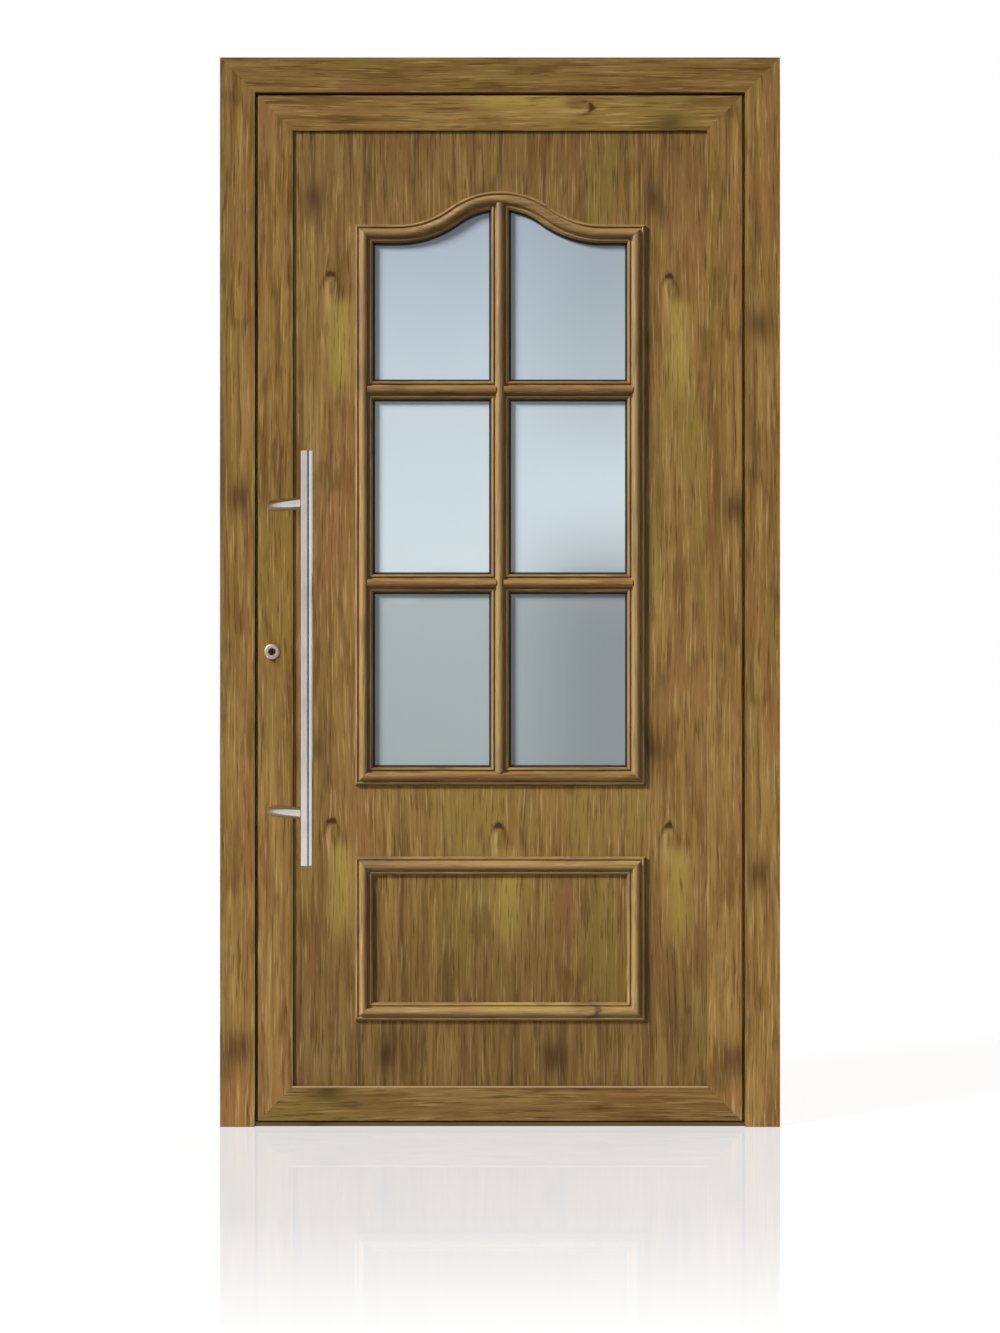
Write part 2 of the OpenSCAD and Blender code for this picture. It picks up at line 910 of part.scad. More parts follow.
module strike_plate(span) {
    difference() {
        lock_box(frame_body, frame_body + strike_t, groove_w + 2 * over, span[0], span[1]);
        bolt_passages(frame_body - over, frame_body + strike_t + over, strike_clear);
        strike_screw_holes();
    }
}

// Frame pieces

module frame_jamb_lock() {
    color(wood_colour)
        difference() {
            at_lock_side()
                within(jamb_outline())
                    upright(frame_h)
                        frame_profile();
            at_lock_side()
                anchor_holes();
            bolt_passages(frame_body - profile_wall - over, frame_body + over, 2 * strike_clear);
            strike_screw_holes();
        }
}

module frame_jamb_hinge() {
    color(wood_colour)
        difference() {
            at_hinge_side()
                within(jamb_outline())
                    upright(frame_h)
                        frame_profile();
            at_hinge_side()
                anchor_holes();
            wing_screw_holes();
        }
}

module frame_head() {
    color(wood_colour)
        within(head_outline(0, frame_face))
            along_top()
                frame_profile();
}

// Corner brackets that fill the width of the chambers behind the mitres
module corner_cleat(u0, u1, v0) {
    reach = u0 + cleat_len;
    translate([0, v0 + cleat_t, 0])
        rotate([90, 0, 0])
            linear_extrude(cleat_t)
                polygon([[u0, -u0], [reach, -u0], [reach, -u1], [u1, -u1], [u1, -reach], [u0, -reach]]);
}

module frame_corner_cleats() {
    color(alloy_colour)
        for (side = [0, 1])
            mirror([side, 0, 0])
                translate([-half_w, 0, frame_h])
                    corner_cleat(profile_wall + fit, frame_body - profile_wall - fit, lip_back + fit);
}

module threshold() {
    deep_half = half_w - frame_body;
    lip_half = half_w - frame_face;
    color(bronze_colour)
        linear_extrude(threshold_h)
            polygon([
                [-lip_half, front + threshold_setback], [lip_half, front + threshold_setback],
                [lip_half, lip_back], [deep_half, lip_back], [deep_half, back],
                [-deep_half, back], [-deep_half, lip_back], [-lip_half, lip_back]
            ]);
}

module frame_gasket() {
    seal_u = (tongue_u + frame_face - seal_w) / 2;
    color(rubber_colour)
        translate([0, tongue_front - clear, 0])
            rotate([90, 0, 0])
                linear_extrude(seal_gap - clear)
                    difference() {
                        square_between([-half_w + seal_u, threshold_h], [half_w - seal_u, frame_h - seal_u]);
                        square_between(
                            [-half_w + seal_u + seal_w, threshold_h - over],
                            [half_w - seal_u - seal_w, frame_h - seal_u - seal_w]
                        );
                    }
}

module strike_plate_main() {
    color(steel_colour)
        strike_plate(strike_spans[0]);
}

module strike_plates_aux() {
    color(steel_colour)
        for (i = [1, 2])
            strike_plate(strike_spans[i]);
}

module strike_screws() {
    color(steel_colour)
        at_strike_screws()
            translate([strike_t, 0, 0])
                rotate([0, 90, 0])
                    plate_screw(strike_t + screw_reach);
}

// Hinges

module hinge_frame_wings() {
    color(steel_colour)
        difference() {
            at_hinges()
                hinge_wing([[-hinge_len / 2, -knuckle / 2], [knuckle / 2, hinge_len / 2]], pin_d + 2 * fit / 5);
            wing_screw_holes();
        }
}

module hinge_leaf_wings() {
    color(steel_colour)
        mirrored_at_hinge()
            difference() {
                at_hinges()
                    hinge_wing([[-knuckle / 2 + clear, knuckle / 2 - clear]], pin_d + 2 * pin_clear);
                wing_screw_holes();
            }
}

module hinge_pins() {
    color(steel_colour)
        at_hinges() {
            translate([0, 0, -hinge_len / 2])
                cylinder(d = pin_d, h = hinge_len + over);
            translate([0, 0, hinge_len / 2])
                cylinder(d = barrel_d, h = pin_d / 3);
        }
}

module hinge_frame_screws() {
    color(steel_colour)
        wing_screws();
}

module hinge_leaf_screws() {
    color(steel_colour)
        mirrored_at_hinge()
            wing_screws();
}

// Leaf profiles

module leaf_stile() {
    within(stile_outline(tongue_u, sight_u))
        upright(frame_h)
            leaf_profile(true);
}

module leaf_stile_lock() {
    color(wood_colour)
        difference() {
            at_lock_side()
                leaf_stile();
            lock_box(groove_u - over, groove_u + profile_wall + over, case_t + 2 * fit,
                     case_bottom - fit, case_top + fit);
            for (z = aux_heights)
                lock_box(groove_u - over, groove_u + profile_wall + over, case_t + 2 * fit,
                         z - aux_case_half - fit, z + aux_case_half + fit);
            cylinder_shape(front - over, back + over, clear);
            translate([cylinder_x, 0, lever_z])
                along_depth(lock_v, back + over, lever_d);
            at_support_bolts()
                along_depth(front - over, front + profile_wall + over, support_bolt_d + 2 * fit);
        }
}

module leaf_stile_hinge() {
    color(wood_colour)
        difference() {
            at_hinge_side()
                leaf_stile();
            mirrored_at_hinge()
                wing_screw_holes();
        }
}

module leaf_rail_top() {
    color(wood_colour)
        within(head_outline(tongue_u, sight_u))
            along_top()
                leaf_profile(true);
}

module leaf_rail_bottom() {
    color(wood_colour)
        within(foot_rail_outline(nose_u, sight_u))
            along_leaf_bottom()
                leaf_profile(false);
}

module leaf_corner_cleats() {
    u0 = nose_u + profile_wall + fit;
    u1 = tube_u - profile_wall - fit;
    v0 = back - profile_wall - cleat_t - fit;
    color(alloy_colour)
        for (side = [0, 1])
            mirror([side, 0, 0]) {
                translate([-half_w, 0, frame_h])
                    corner_cleat(u0, u1, v0);
                translate([-half_w, 0, leaf_bottom - nose_u])
                    mirror([0, 0, 1])
                        corner_cleat(u0, u1, v0);
            }
}

// Infill and its seating

module infill_panel() {
    color(wood_colour)
        translate([0, panel_back, 0])
            rotate([90, 0, 0])
                linear_extrude(panel_t)
                    difference() {
                        square_between([-panel_half_w, panel_bottom], [panel_half_w, panel_top]);
                        arched_outline(trim_lap);
                    }
}

module panel_setting_blocks() {
    block_x = panel_half_w / 2;
    color(rubber_colour)
        for (side = [-1, 1])
            for (z = [panel_bottom - panel_clear, panel_top])
                translate([side * block_x - block_len / 2, panel_front, z])
                    cube([block_len, panel_t, panel_clear]);
}

module panel_gasket_outside() {
    lip = (sight_u - tube_u - gasket_w) / 2;
    color(rubber_colour)
        panel_ring(half_w - tube_u - lip, leaf_foot(tube_u) + lip, frame_h - tube_u - lip, gasket_w,
                   flange_back, panel_front);
}

module panel_gasket_inside() {
    lip = (bead_w + panel_clear - gasket_w) / 2;
    color(rubber_colour)
        panel_ring(half_w - tube_u - lip, leaf_foot(tube_u) + lip, frame_h - tube_u - lip, gasket_w,
                   panel_back, bead_front);
}

module bead_upright() {
    within(stile_outline(tube_u, tube_u + bead_w))
        upright(frame_h)
            bead_profile();
}

module glazing_bead_lock() {
    color(wood_colour)
        at_lock_side()
            bead_upright();
}

module glazing_bead_hinge() {
    color(wood_colour)
        at_hinge_side()
            bead_upright();
}

module glazing_bead_top() {
    color(wood_colour)
        within(head_outline(tube_u, tube_u + bead_w))
            along_top()
                bead_profile();
}

module glazing_bead_bottom() {
    color(wood_colour)
        within(foot_rail_outline(tube_u, tube_u + bead_w))
            along_leaf_bottom()
                bead_profile();
}

module bottom_seal() {
    color(rubber_colour)
        translate([-leaf_half_w, -bottom_seal_w / 2, threshold_h + clear])
            cube([2 * leaf_half_w, bottom_seal_w, leaf_bottom - threshold_h - clear]);
}

module glass_outer_pane() {
    color(glass_colour)
        arched_plate(glass_front, glass_front + pane_t, glass_inset);
}

module glass_inner_pane() {
    color(glass_colour)
        arched_plate(glass_back - pane_t, glass_back, glass_inset);
}

module glass_spacer() {
    color(alloy_colour)
        arched_ring(glass_front + pane_t, glass_back - pane_t, glass_inset, spacer_w);
}

module glass_tapes() {
    color(rubber_colour) {
        arched_ring(panel_front, glass_front, tape_inset, tape_w);
        arched_ring(glass_back, panel_back, tape_inset, tape_w);
    }
}

// Trims and crossbars

module window_trim_lock() {
    color(wood_colour)
        on_outside()
            window_side_flat();
}

module window_trim_hinge() {
    color(wood_colour)
        mirror([1, 0, 0])
            on_outside()
                window_side_flat();
}

module window_trim_bottom() {
    color(wood_colour)
        on_outside()
            window_foot_flat();
}

module window_trim_arch() {
    color(wood_colour)
        on_outside()
            window_arch_flat();
}

module muntin_vertical() {
    color(wood_colour)
        on_outside()
            muntin_upright_flat();
}

module muntins_horizontal() {
    color(wood_colour)
        on_outside()
            muntin_crosses_flat();
}

module lower_trim() {
    color(wood_colour)
        on_outside()
            lower_trim_flat();
}

module window_trim_inside() {
    color(wood_colour)
        on_inside() {
            window_side_flat();
            mirror([1, 0, 0])
                window_side_flat();
            window_foot_flat();
            window_arch_flat();
        }
}

module muntins_inside() {
    color(wood_colour)
        on_inside() {
            muntin_upright_flat();
            muntin_crosses_flat();
        }
}

module lower_trim_inside() {
    color(wood_colour)
        on_inside()
            lower_trim_flat();
}

// Pull bar

module pull_bar() {
    tube_len = pull_len - 2 * pull_cap;
    color(steel_colour)
        translate([bar_x, bar_y, pull_bottom + pull_cap])
            difference() {
                cylinder(d = pull_d, h = tube_len);
                translate([0, 0, -over])
                    cylinder(d = pull_d - 2 * pull_wall, h = tube_len + 2 * over);
            }
}

module pull_bar_cap() {
    cylinder(d = pull_d, h = pull_cap);
    translate([0, 0, pull_cap - over])
        cylinder(d = pull_d - 2 * pull_wall - 2 * fit, h = pull_d / 2);
}

module pull_bar_caps() {
    color(steel_colour)
        translate([bar_x, bar_y, 0]) {
            translate([0, 0, pull_bottom])
                pull_bar_cap();
            translate([0, 0, pull_bottom + pull_len])
                mirror([0, 0, 1])
                    pull_bar_cap();
        }
}

module pull_supports() {
    color(steel_colour)
        difference() {
            for (z = support_z)
                translate([foot_x, front, z])
                    rotate([90, 0, 45])
                        translate([0, 0, -support_d])
                            cylinder(d = support_d, h = support_run + support_d);
            translate([-half_w, front, 0])
                cube([half_w, frame_d, frame_h]);
            translate([bar_x, bar_y, 0])
                cylinder(d = pull_d, h = frame_h);
            at_support_bolts()
                along_depth(front - support_bolt_reach, front + over, support_bolt_d);
        }
}

module pull_fixing_bolts() {
    seat = front + profile_wall;
    color(steel_colour)
        at_support_bolts() {
            along_depth(front - support_bolt_reach, seat + over, support_bolt_d);
            along_depth(seat, seat + bolt_head_h, 2 * bolt_head_r);
        }
}

// Lock

module lock_case() {
    color(steel_colour)
        difference() {
            lock_box(case_u, case_u + case_d, case_t, case_bottom, case_top);
            lock_box(case_u - over, bolt_rest_u + bolt_len + over, bolt_t + 2 * clear,
                     bolt_z - bolt_h / 2 - clear, bolt_z + bolt_h / 2 + clear);
            lock_box(case_u - over, bolt_rest_u + latch_len + over, latch_t + 2 * clear,
                     latch_z - latch_h / 2 - clear, latch_z + latch_h / 2 + clear);
            cylinder_shape(front, back, fit);
            translate([cylinder_x, 0, lever_z])
                along_depth(front, back, spindle_s * sqrt(2) + 2 * clear);
        }
}

module lock_faceplate() {
    color(steel_colour)
        difference() {
            lock_box(tongue_u, tongue_u + faceplate_t, groove_w - 2 * fit,
                     aux_low - aux_case_h, aux_high + aux_case_h);
            bolt_passages(tongue_u - over, tongue_u + faceplate_t + over, clear);
        }
}

module aux_lock_cases() {
    color(steel_colour)
        for (z = aux_heights)
            difference() {
                lock_box(case_u, case_u + aux_case_d, case_t, z - aux_case_half, z + aux_case_half);
                lock_rod(case_u - over, bolt_rest_u + bolt_len + over, z, aux_d + 2 * clear);
            }
}

module drive_rods() {
    color(steel_colour)
        for (span = rod_spans)
            lock_box(rod_u, rod_u + rod_t, rod_w, span[0], span[1]);
}

module lock_bolts() {
    color(steel_colour) {
        lock_box(bolt_rest_u, bolt_rest_u + bolt_len, bolt_t, bolt_z - bolt_h / 2, bolt_z + bolt_h / 2);
        for (z = aux_heights)
            lock_rod(bolt_rest_u, bolt_rest_u + bolt_len, z, aux_d);
    }
}

// The latch's slanted side meets the strike first when the leaf closes outwards
module latch_bolt() {
    slant = latch_throw * 0.75;
    half_t = latch_t / 2;
    color(steel_colour)
        at_lock_side()
            translate([bolt_rest_u, lock_v, latch_z - latch_h / 2])
                linear_extrude(latch_h)
                    polygon([[0, half_t], [latch_len, half_t], [latch_len, -half_t], [slant, -half_t]]);
}

module cylinder_body() {
    color(steel_colour)
        difference() {
            cylinder_shape(front, back, 0);
            translate([cylinder_x, 0, cylinder_z])
                along_depth(front - over, back + over, plug_d + 2 * pin_clear);
        }
}

module cylinder_plug() {
    color(bronze_colour)
        translate([cylinder_x, 0, cylinder_z])
            difference() {
                along_depth(front, back, plug_d);
                for (y = [front - over, back - keyway_depth])
                    translate([-keyway_w / 2, y, -keyway_h / 2])
                        cube([keyway_w, keyway_depth + over, keyway_h]);
            }
}

module cylinder_rosette_outside() {
    color(steel_colour)
        translate([cylinder_x, front, cylinder_z])
            rotate([90, 0, 0])
                rosette(rosette_d, rosette_bore);
}

module cylinder_rosette_inside() {
    color(steel_colour)
        translate([cylinder_x, back, cylinder_z])
            rotate([-90, 0, 0])
                rosette(rosette_inside_d, rosette_bore);
}

// Lever

module lever_rosette() {
    straight = lever_rosette_h - lever_rosette_w;
    color(steel_colour)
        translate([cylinder_x, back, lever_z])
            rotate([-90, 0, 0])
                difference() {
                    linear_extrude(lever_rosette_t) {
                        square([lever_rosette_w, straight], center = true);
                        for (side = [-1, 1])
                            translate([0, side * straight / 2])
                                circle(d = lever_rosette_w);
                    }
                    translate([0, 0, -over])
                        cylinder(d = lever_d + 2 * clear, h = lever_rosette_t + 2 * over);
                }
}

module lever_spindle() {
    color(steel_colour)
        translate([cylinder_x - spindle_s / 2, lock_v - case_t / 2, lever_z - spindle_s / 2])
            cube([spindle_s, back + lever_rosette_t + over - lock_v + case_t / 2, spindle_s]);
}

// Neck, quarter bend and round-ended grip, drawn with the neck along Z and the grip along X
module lever_form() {
    neck = lever_out - lever_bend;
    end_r = lever_d / 4;
    grip = lever_len - lever_bend;
    translate([0, 0, over])
        cylinder(d = lever_d, h = neck - over);
    translate([lever_bend, 0, neck])
        rotate([90, 0, 0])
            rotate_extrude(angle = 90, start = 90)
                translate([lever_bend, 0])
                    circle(d = lever_d);
    translate([lever_bend, 0, lever_out])
        rotate([0, 90, 0])
            rotate_extrude()
                difference() {
                    square([lever_d / 2, grip]);
                    difference() {
                        translate([lever_d / 2 - end_r, grip - end_r])
                            square(end_r + over);
                        translate([lever_d / 2 - end_r, grip - end_r])
                            circle(end_r);
                    }
                }
}

module lever_handle() {
    socket = lever_rosette_t + over;
    color(steel_colour)
        translate([cylinder_x, back, lever_z])
            rotate([-90, 0, 0])
                difference() {
                    lever_form();
                    translate([-spindle_s / 2, -spindle_s / 2, -over])
                        cube([spindle_s, spindle_s, socket + over]);
                }
}

frame_jamb_lock();
frame_jamb_hinge();
frame_head();
frame_corner_cleats();
threshold();
frame_gasket();
strike_plate_main();
strike_plates_aux();
strike_screws();
hinge_frame_wings();
hinge_pins();
hinge_frame_screws();
leaf_stile_lock();
leaf_stile_hinge();
leaf_rail_top();
leaf_rail_bottom();
leaf_corner_cleats();
infill_panel();
panel_setting_blocks();
panel_gasket_outside();
panel_gasket_inside();
glazing_bead_lock();
glazing_bead_hinge();
glazing_bead_top();
glazing_bead_bottom();
bottom_seal();
glass_outer_pane();
glass_inner_pane();
glass_spacer();
glass_tapes();
window_trim_lock();
window_trim_hinge();
window_trim_bottom();
window_trim_arch();
muntin_vertical();
muntins_horizontal();
lower_trim();
window_trim_inside();
muntins_inside();
lower_trim_inside();
hinge_leaf_wings();
hinge_leaf_screws();
pull_bar();
pull_bar_caps();
pull_supports();
pull_fixing_bolts();
lock_case();
lock_faceplate();
aux_lock_cases();
drive_rods();
lock_bolts();
latch_bolt();
cylinder_body();
cylinder_plug();
cylinder_rosette_outside();
cylinder_rosette_inside();
lever_rosette();
lever_spindle();
lever_handle();
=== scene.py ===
"""Looks of the panelled front door: materials, small fittings, floor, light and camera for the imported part.

X runs to the right seen from outside, Y into the house, Z up, in metres.
"""

import math

import bmesh
import bpy
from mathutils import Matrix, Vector


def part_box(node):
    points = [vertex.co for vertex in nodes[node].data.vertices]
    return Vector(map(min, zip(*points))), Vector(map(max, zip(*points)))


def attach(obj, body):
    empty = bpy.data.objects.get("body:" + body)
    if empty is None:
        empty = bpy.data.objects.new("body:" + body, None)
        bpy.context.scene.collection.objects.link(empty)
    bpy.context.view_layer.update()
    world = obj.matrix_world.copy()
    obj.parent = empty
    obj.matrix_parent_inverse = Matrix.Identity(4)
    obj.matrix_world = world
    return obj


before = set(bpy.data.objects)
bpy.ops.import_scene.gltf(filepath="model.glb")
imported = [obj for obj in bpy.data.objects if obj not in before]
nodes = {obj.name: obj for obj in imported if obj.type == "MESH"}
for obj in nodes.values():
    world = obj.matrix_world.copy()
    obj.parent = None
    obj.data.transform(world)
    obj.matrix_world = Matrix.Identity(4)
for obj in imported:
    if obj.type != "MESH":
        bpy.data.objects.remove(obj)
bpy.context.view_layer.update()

# Camera: rows of the photograph are counted from its top, and a pixel covers this much of the door's face
IMAGE_ROWS = 1333
DOOR_FOOT_ROW = 1127
PIXEL = 0.001963
CAMERA_DISTANCE = 4.2
SENSOR_HEIGHT = 36.0

WHITE = (1.0, 1.0, 1.0, 1.0)

# Wood decor, as sRGB values
WOOD_DARK = (104, 75, 40)
WOOD_DEEP = (126, 95, 51)
WOOD_MID = (137, 106, 58)
WOOD_LIGHT = (154, 124, 71)
WOOD_RED = (136, 96, 58)
WOOD_OLIVE = (133, 113, 54)
WOOD_BROWN = (104, 76, 40)
WOOD_GLOW = (160, 137, 67)
WOOD_LINE = (78, 54, 25)
WOOD_FLECK = (176, 147, 94)
# The next two are painted highlights: the paler tone of lit mouldings, and a lit edge line
TRIM_HIGHLIGHT_TONE = (174, 150, 112)
EDGE_HIGHLIGHT_TONE = (214, 182, 138)
ARCH_DARK = (76, 50, 16)
ARCH_LIGHT = (184, 153, 98)
BLOT = (64, 44, 26)
KNOT = (56, 34, 8)

# The printed decor repeats across and along the grain, with one arched knot in each repeat
REPEAT_ACROSS = 0.334
REPEAT_ALONG = 1.08
KNOT_HEIGHT = 0.59

# Noise of the decor: repeats a metre across, along and through the grain, then its detail
SWAY = ((5.0, 1.3, 5.0), 1.0)
RAGGED = ((150.0, 50.0, 150.0), 2.0)
LINE_NOISE = {
    "streaks": ((95.0, 3.4, 95.0), 4.0),
    "threads": ((330.0, 13.0, 330.0), 2.0),
    "flecks": ((270.0, 10.0, 270.0), 2.0),
    "pores": ((1100.0, 40.0, 1100.0), 1.0),
}
PATCH_NOISE = {
    "mottle": ((34.0, 8.0, 34.0), 3.0),
    "patches": ((9.0, 2.4, 9.0), 2.0),
    "tints": ((6.0, 1.7, 13.0), 2.0),
}
# How far the sway moves the decor across and along
SWAY_ACROSS = 0.03
SWAY_ALONG = 0.05

# Tones of the streaks, then layers over them: noise, where the layer starts and is full, share, tone
STREAK_TONES = [(0.30, WOOD_DARK), (0.43, WOOD_DEEP), (0.54, WOOD_MID), (0.70, WOOD_LIGHT)]
BROAD_LAYERS = [
    ("patches", 0.50, 0.66, 0.65, WOOD_RED),
    ("tints", 0.50, 0.64, 0.70, WOOD_OLIVE),
    ("mottle", 0.48, 0.30, 0.75, WOOD_BROWN),
]
FINE_LAYERS = [
    ("flecks", 0.56, 0.70, 0.60, WOOD_FLECK),
    ("threads", 0.56, 0.70, 0.70, WOOD_LINE),
    ("pores", 0.56, 0.72, 0.25, WOOD_LINE),
]

# Dark blots of a repeat: distance from its knot across and along, half sizes, strength
BLOTS = [
    (-0.032, 0.155, 0.020, 0.034, 0.90),
    (0.108, -0.455, 0.024, 0.036, 0.95),
    (0.085, 0.330, 0.012, 0.020, 0.50),
]

# Grain round a knot: its reach across and along, and how far it gives way
KNOT_REACH = (0.016, 0.035)
KNOT_SPREAD = 0.7
# Knot: half width and rise of its crown, how ragged its ring is, and the soft edge and foot of the crown
KNOT_HALF = 0.0095
KNOT_RISE = 0.011
KNOT_RAGGED = 1.1
CROWN_EDGE = (1.15, 0.75)
CROWN_FOOT = (-0.004, 0.003)
# Its two legs: length, width in half widths of the knot, how they open, and the noise that breaks them
LEG_LENGTH = 0.050
LEG_WIDTH = 0.32
LEG_SPREAD = 40.0
LEG_BREAKS = (0.34, 0.56)
# Streaks below a knot: middle and half width across, then the soft lower and upper end along the grain
OLIVE_STRIP = (0.020, 0.026, (-0.26, -0.18), (-0.025, -0.065))
PALE_STREAK = (-0.006, 0.0055, (-0.110, -0.030), (-0.002, -0.014))
DARK_STREAK = (0.0, 0.0024, (-0.045, -0.030), (-0.006, -0.014))
# Share of the olive strip, how far the dark streak wanders, and how the grain's streaks show in a blot
STRIP_SHARE = 0.8
STREAK_WANDER = 0.006
BLOT_STREAKS = (0.2, 0.6, 1.0, 0.75)

# Painted shade: the decor gets darker from one distance above and below the door's middle to another
DOOR_MIDDLE = 1.15
SHADE_REACH = (0.5, 0.95)
# Painted highlight line along a lit edge: half width, drop from the upper edge of its piece, and share
EDGE_HIGHLIGHT_HALF = 0.0016
EDGE_HIGHLIGHT_DROP = 0.0015
EDGE_HIGHLIGHT_SHARE = 0.8
# Gloss of the trims, roughness of all the decor, and where most values of a noise lie
TRIM_SHEEN = 0.3
WOOD_ROUGHNESS = (0.40, 0.52)
NOISE_RANGE = (0.3, 0.7)

# Painted reflection: glass tint over the height of the window, as sRGB values
GLASS_REFLECTION_TINTS = [
    (0.72, (153, 164, 166)),
    (1.04, (162, 174, 176)),
    (1.10, (204, 217, 222)),
    (1.43, (194, 208, 216)),
    (1.49, (190, 204, 213)),
    (1.78, (164, 178, 192)),
]
GLASS_REFLECTION_SHADE = (129, 138, 143)
# Painted reflection: middle and half height of the brighter row of panes, and how the darker reflection grows
# to the right and downwards
BRIGHT_ROW = (1.26, 0.16)
SHADE_ACROSS = (-0.06, 0.2)
SHADE_DOWN = (1.5, 0.9, 0.4, 1.0)
# Clouds that shift the painted reflection up and down, and the fine frost of the surface
GLASS_CLOUDS = ((4.0, 4.0, 3.0), 2.0)
CLOUD_SHIFT = 0.12
GLASS_FROST = ((900.0, 900.0, 900.0), 2.0)
FROST_ROUGHNESS = (0.30, 0.42)

# Uneven tone of brushed metal, and of cast and moulded pieces
METAL_SMEAR = ((14.0, 14.0, 14.0), 2.0)
CAST_CLOUDS = ((16.0, 16.0, 16.0), 3.0)

# Directions that the heads of screws look in
X_AXIS = 0
Y_AXIS = 1

# Seal lips round the panes, a real seal made wide and black to paint the mouldings' shadow on the glass:
# width, how far they stand off the glass, and how much wider they are at the arch
SEAL_LIP = 0.004
SEAL_DEPTH = 0.0022
ARCH_SEAL = 1.2
# The arch's edge is measured this far in front of the trim's back, with a small step off its ends
EDGE_DEPTH = 0.001
HAIR = 1e-5

# Floor: how it shows, how much light it throws back on the object, and how much it shines by itself
FLOOR_SEEN = (242, 242, 240)
FLOOR_BOUNCE = (80, 80, 80)
FLOOR_GLOW = 0.90
FLOOR_REACH = 9.0
# Mirror image of the door: tint, roughness, distances where it ends and is full, and how its share grows
MIRROR_TINT = (1.0, 0.98, 0.95, 1.0)
MIRROR_ROUGHNESS = 0.04
MIRROR_FADE = (1.60, 0.65)
MIRROR_SHARE = (1.0, 0.0, 0.28, 0.33)

# What metal mirrors: turns in degrees from straight ahead to the right, and heights of a direction
FLAG_LEFT = (8, 17)
FLAG_RIGHT = (47, 37)
FLAG_DEPTH = 0.94
WALL_TURN = (2, 38)
WALL_TONE = 0.76
OVERHEAD_LOW = (0.40, 0.55)
OVERHEAD_HIGH = (0.85, 0.70)
OVERHEAD_DEPTH = 0.65
# Soft light that grows from front to back: depths of a direction, then strengths
SOFT_LIGHT = (-0.3, 0.5, 0.09, 0.8)
# Depths of a direction from which metal mirrors plain white
BEHIND = (0.0, 0.2)

# Lamps: direction that the light travels in, strength and apparent size in degrees
KEY_LIGHT = ((1.4, 0.85, -1.2), 5.75, 12.0)
FACE_LIGHT = ((0.35, 1.0, -0.40), 1.95, 12.0)
GAP_LIGHT = ((0.0, 1.0, -0.05), 0.7, 4.0)
FRONT_LIGHT = ((0.22, 1.0, -0.22), 0.38, 10.0)
BACK_LIGHT = ((-0.9, -1.0, -1.2), 1.6, 30.0)
# Flat pieces take the face light and the gap light, and all others but the pull take the key light
FLAT_PIECES = [
    "frame_jamb_lock", "frame_jamb_hinge", "frame_head",
    "leaf_stile_lock", "leaf_stile_hinge", "leaf_rail_top", "leaf_rail_bottom",
]
PULL_PIECES = ["pull_bar", "pull_bar_caps", "pull_supports"]


def linear(colour):
    """Linear RGBA of an sRGB colour given as 0 to 255."""
    shares = [c / 255 for c in colour]
    return [s / 12.92 if s <= 0.04045 else ((s + 0.055) / 1.055) ** 2.4 for s in shares] + [1.0]


class Graph:
    """Short forms for adding nodes to one shader tree."""

    def __init__(self, tree):
        self.tree = tree

    def add(self, kind, **settings):
        node = self.tree.nodes.new("ShaderNode" + kind)
        for name, value in settings.items():
            setattr(node, name, value)
        return node

    def feed(self, socket, value):
        if isinstance(value, bpy.types.NodeSocket):
            self.tree.links.new(value, socket)
        else:
            socket.default_value = value

    def feed_all(self, sockets, values):
        for socket, value in zip(sockets, values):
            self.feed(socket, value)

    def math(self, operation, *values):
        node = self.add("Math", operation=operation)
        self.feed_all(node.inputs, values)
        return node.outputs[0]

    def product(self, first, *others):
        for other in others:
            first = self.math("MULTIPLY", first, other)
        return first

    def ratio(self, value, origin, unit):
        """Distance of a value from an origin, counted in units."""
        return self.math("DIVIDE", self.math("SUBTRACT", value, origin), unit)

    def blend(self, first, second, share):
        """Mean of two values, in which the first one has the given share."""
        return self.math("MULTIPLY_ADD", first, share, self.product(second, 1.0 - share))

    def length(self, first, second):
        return self.math("SQRT", self.math("ADD", self.product(first, first), self.product(second, second)))

    def parts(self, vector):
        node = self.add("SeparateXYZ")
        self.feed(node.inputs[0], vector)
        return node.outputs

    def vector(self, *values):
        node = self.add("CombineXYZ")
        self.feed_all(node.inputs, values)
        return node.outputs[0]

    def fade(self, value, start, end, low=0.0, high=1.0):
        """Smooth step from low at start to high at end."""
        node = self.add("MapRange", interpolation_type="SMOOTHSTEP")
        self.feed_all(node.inputs, (value, start, end, low, high))
        return node.outputs[0]

    def bell(self, *ratios):
        """1 where every ratio is 0, falling off smoothly to 0."""
        squares = [self.product(r, r) for r in ratios]
        total = squares[0]
        for square in squares[1:]:
            total = self.math("ADD", total, square)
        return self.math("EXPONENT", self.product(total, -1.0))

    def noise(self, place, scale, detail):
        """Noise with its own scale in each direction, in repeats a metre."""
        stretch = self.add("VectorMath", operation="MULTIPLY")
        self.feed_all(stretch.inputs, (place, scale))
        node = self.add("TexNoise")
        self.feed(node.inputs["Vector"], stretch.outputs[0])
        node.inputs["Scale"].default_value = 1.0
        node.inputs["Detail"].default_value = detail
        return node.outputs["Fac"]

    def mix(self, share, first, second):
        node = self.add("Mix", data_type="RGBA")
        self.feed_all((node.inputs[0], node.inputs[6], node.inputs[7]), (share, first, second))
        return node.outputs[2]

    def mix_shaders(self, share, first, second):
        node = self.add("MixShader")
        self.feed_all(node.inputs, (share, first, second))
        return node.outputs[0]

    def ramp(self, value, stops):
        node = self.add("ValToRGB")
        elements = node.color_ramp.elements
        while len(elements) < len(stops):
            elements.new(0.5)
        for element, (place, colour) in zip(elements, stops):
            element.position = place
            element.color = linear(colour)
        self.feed(node.inputs[0], value)
        return node.outputs[0]


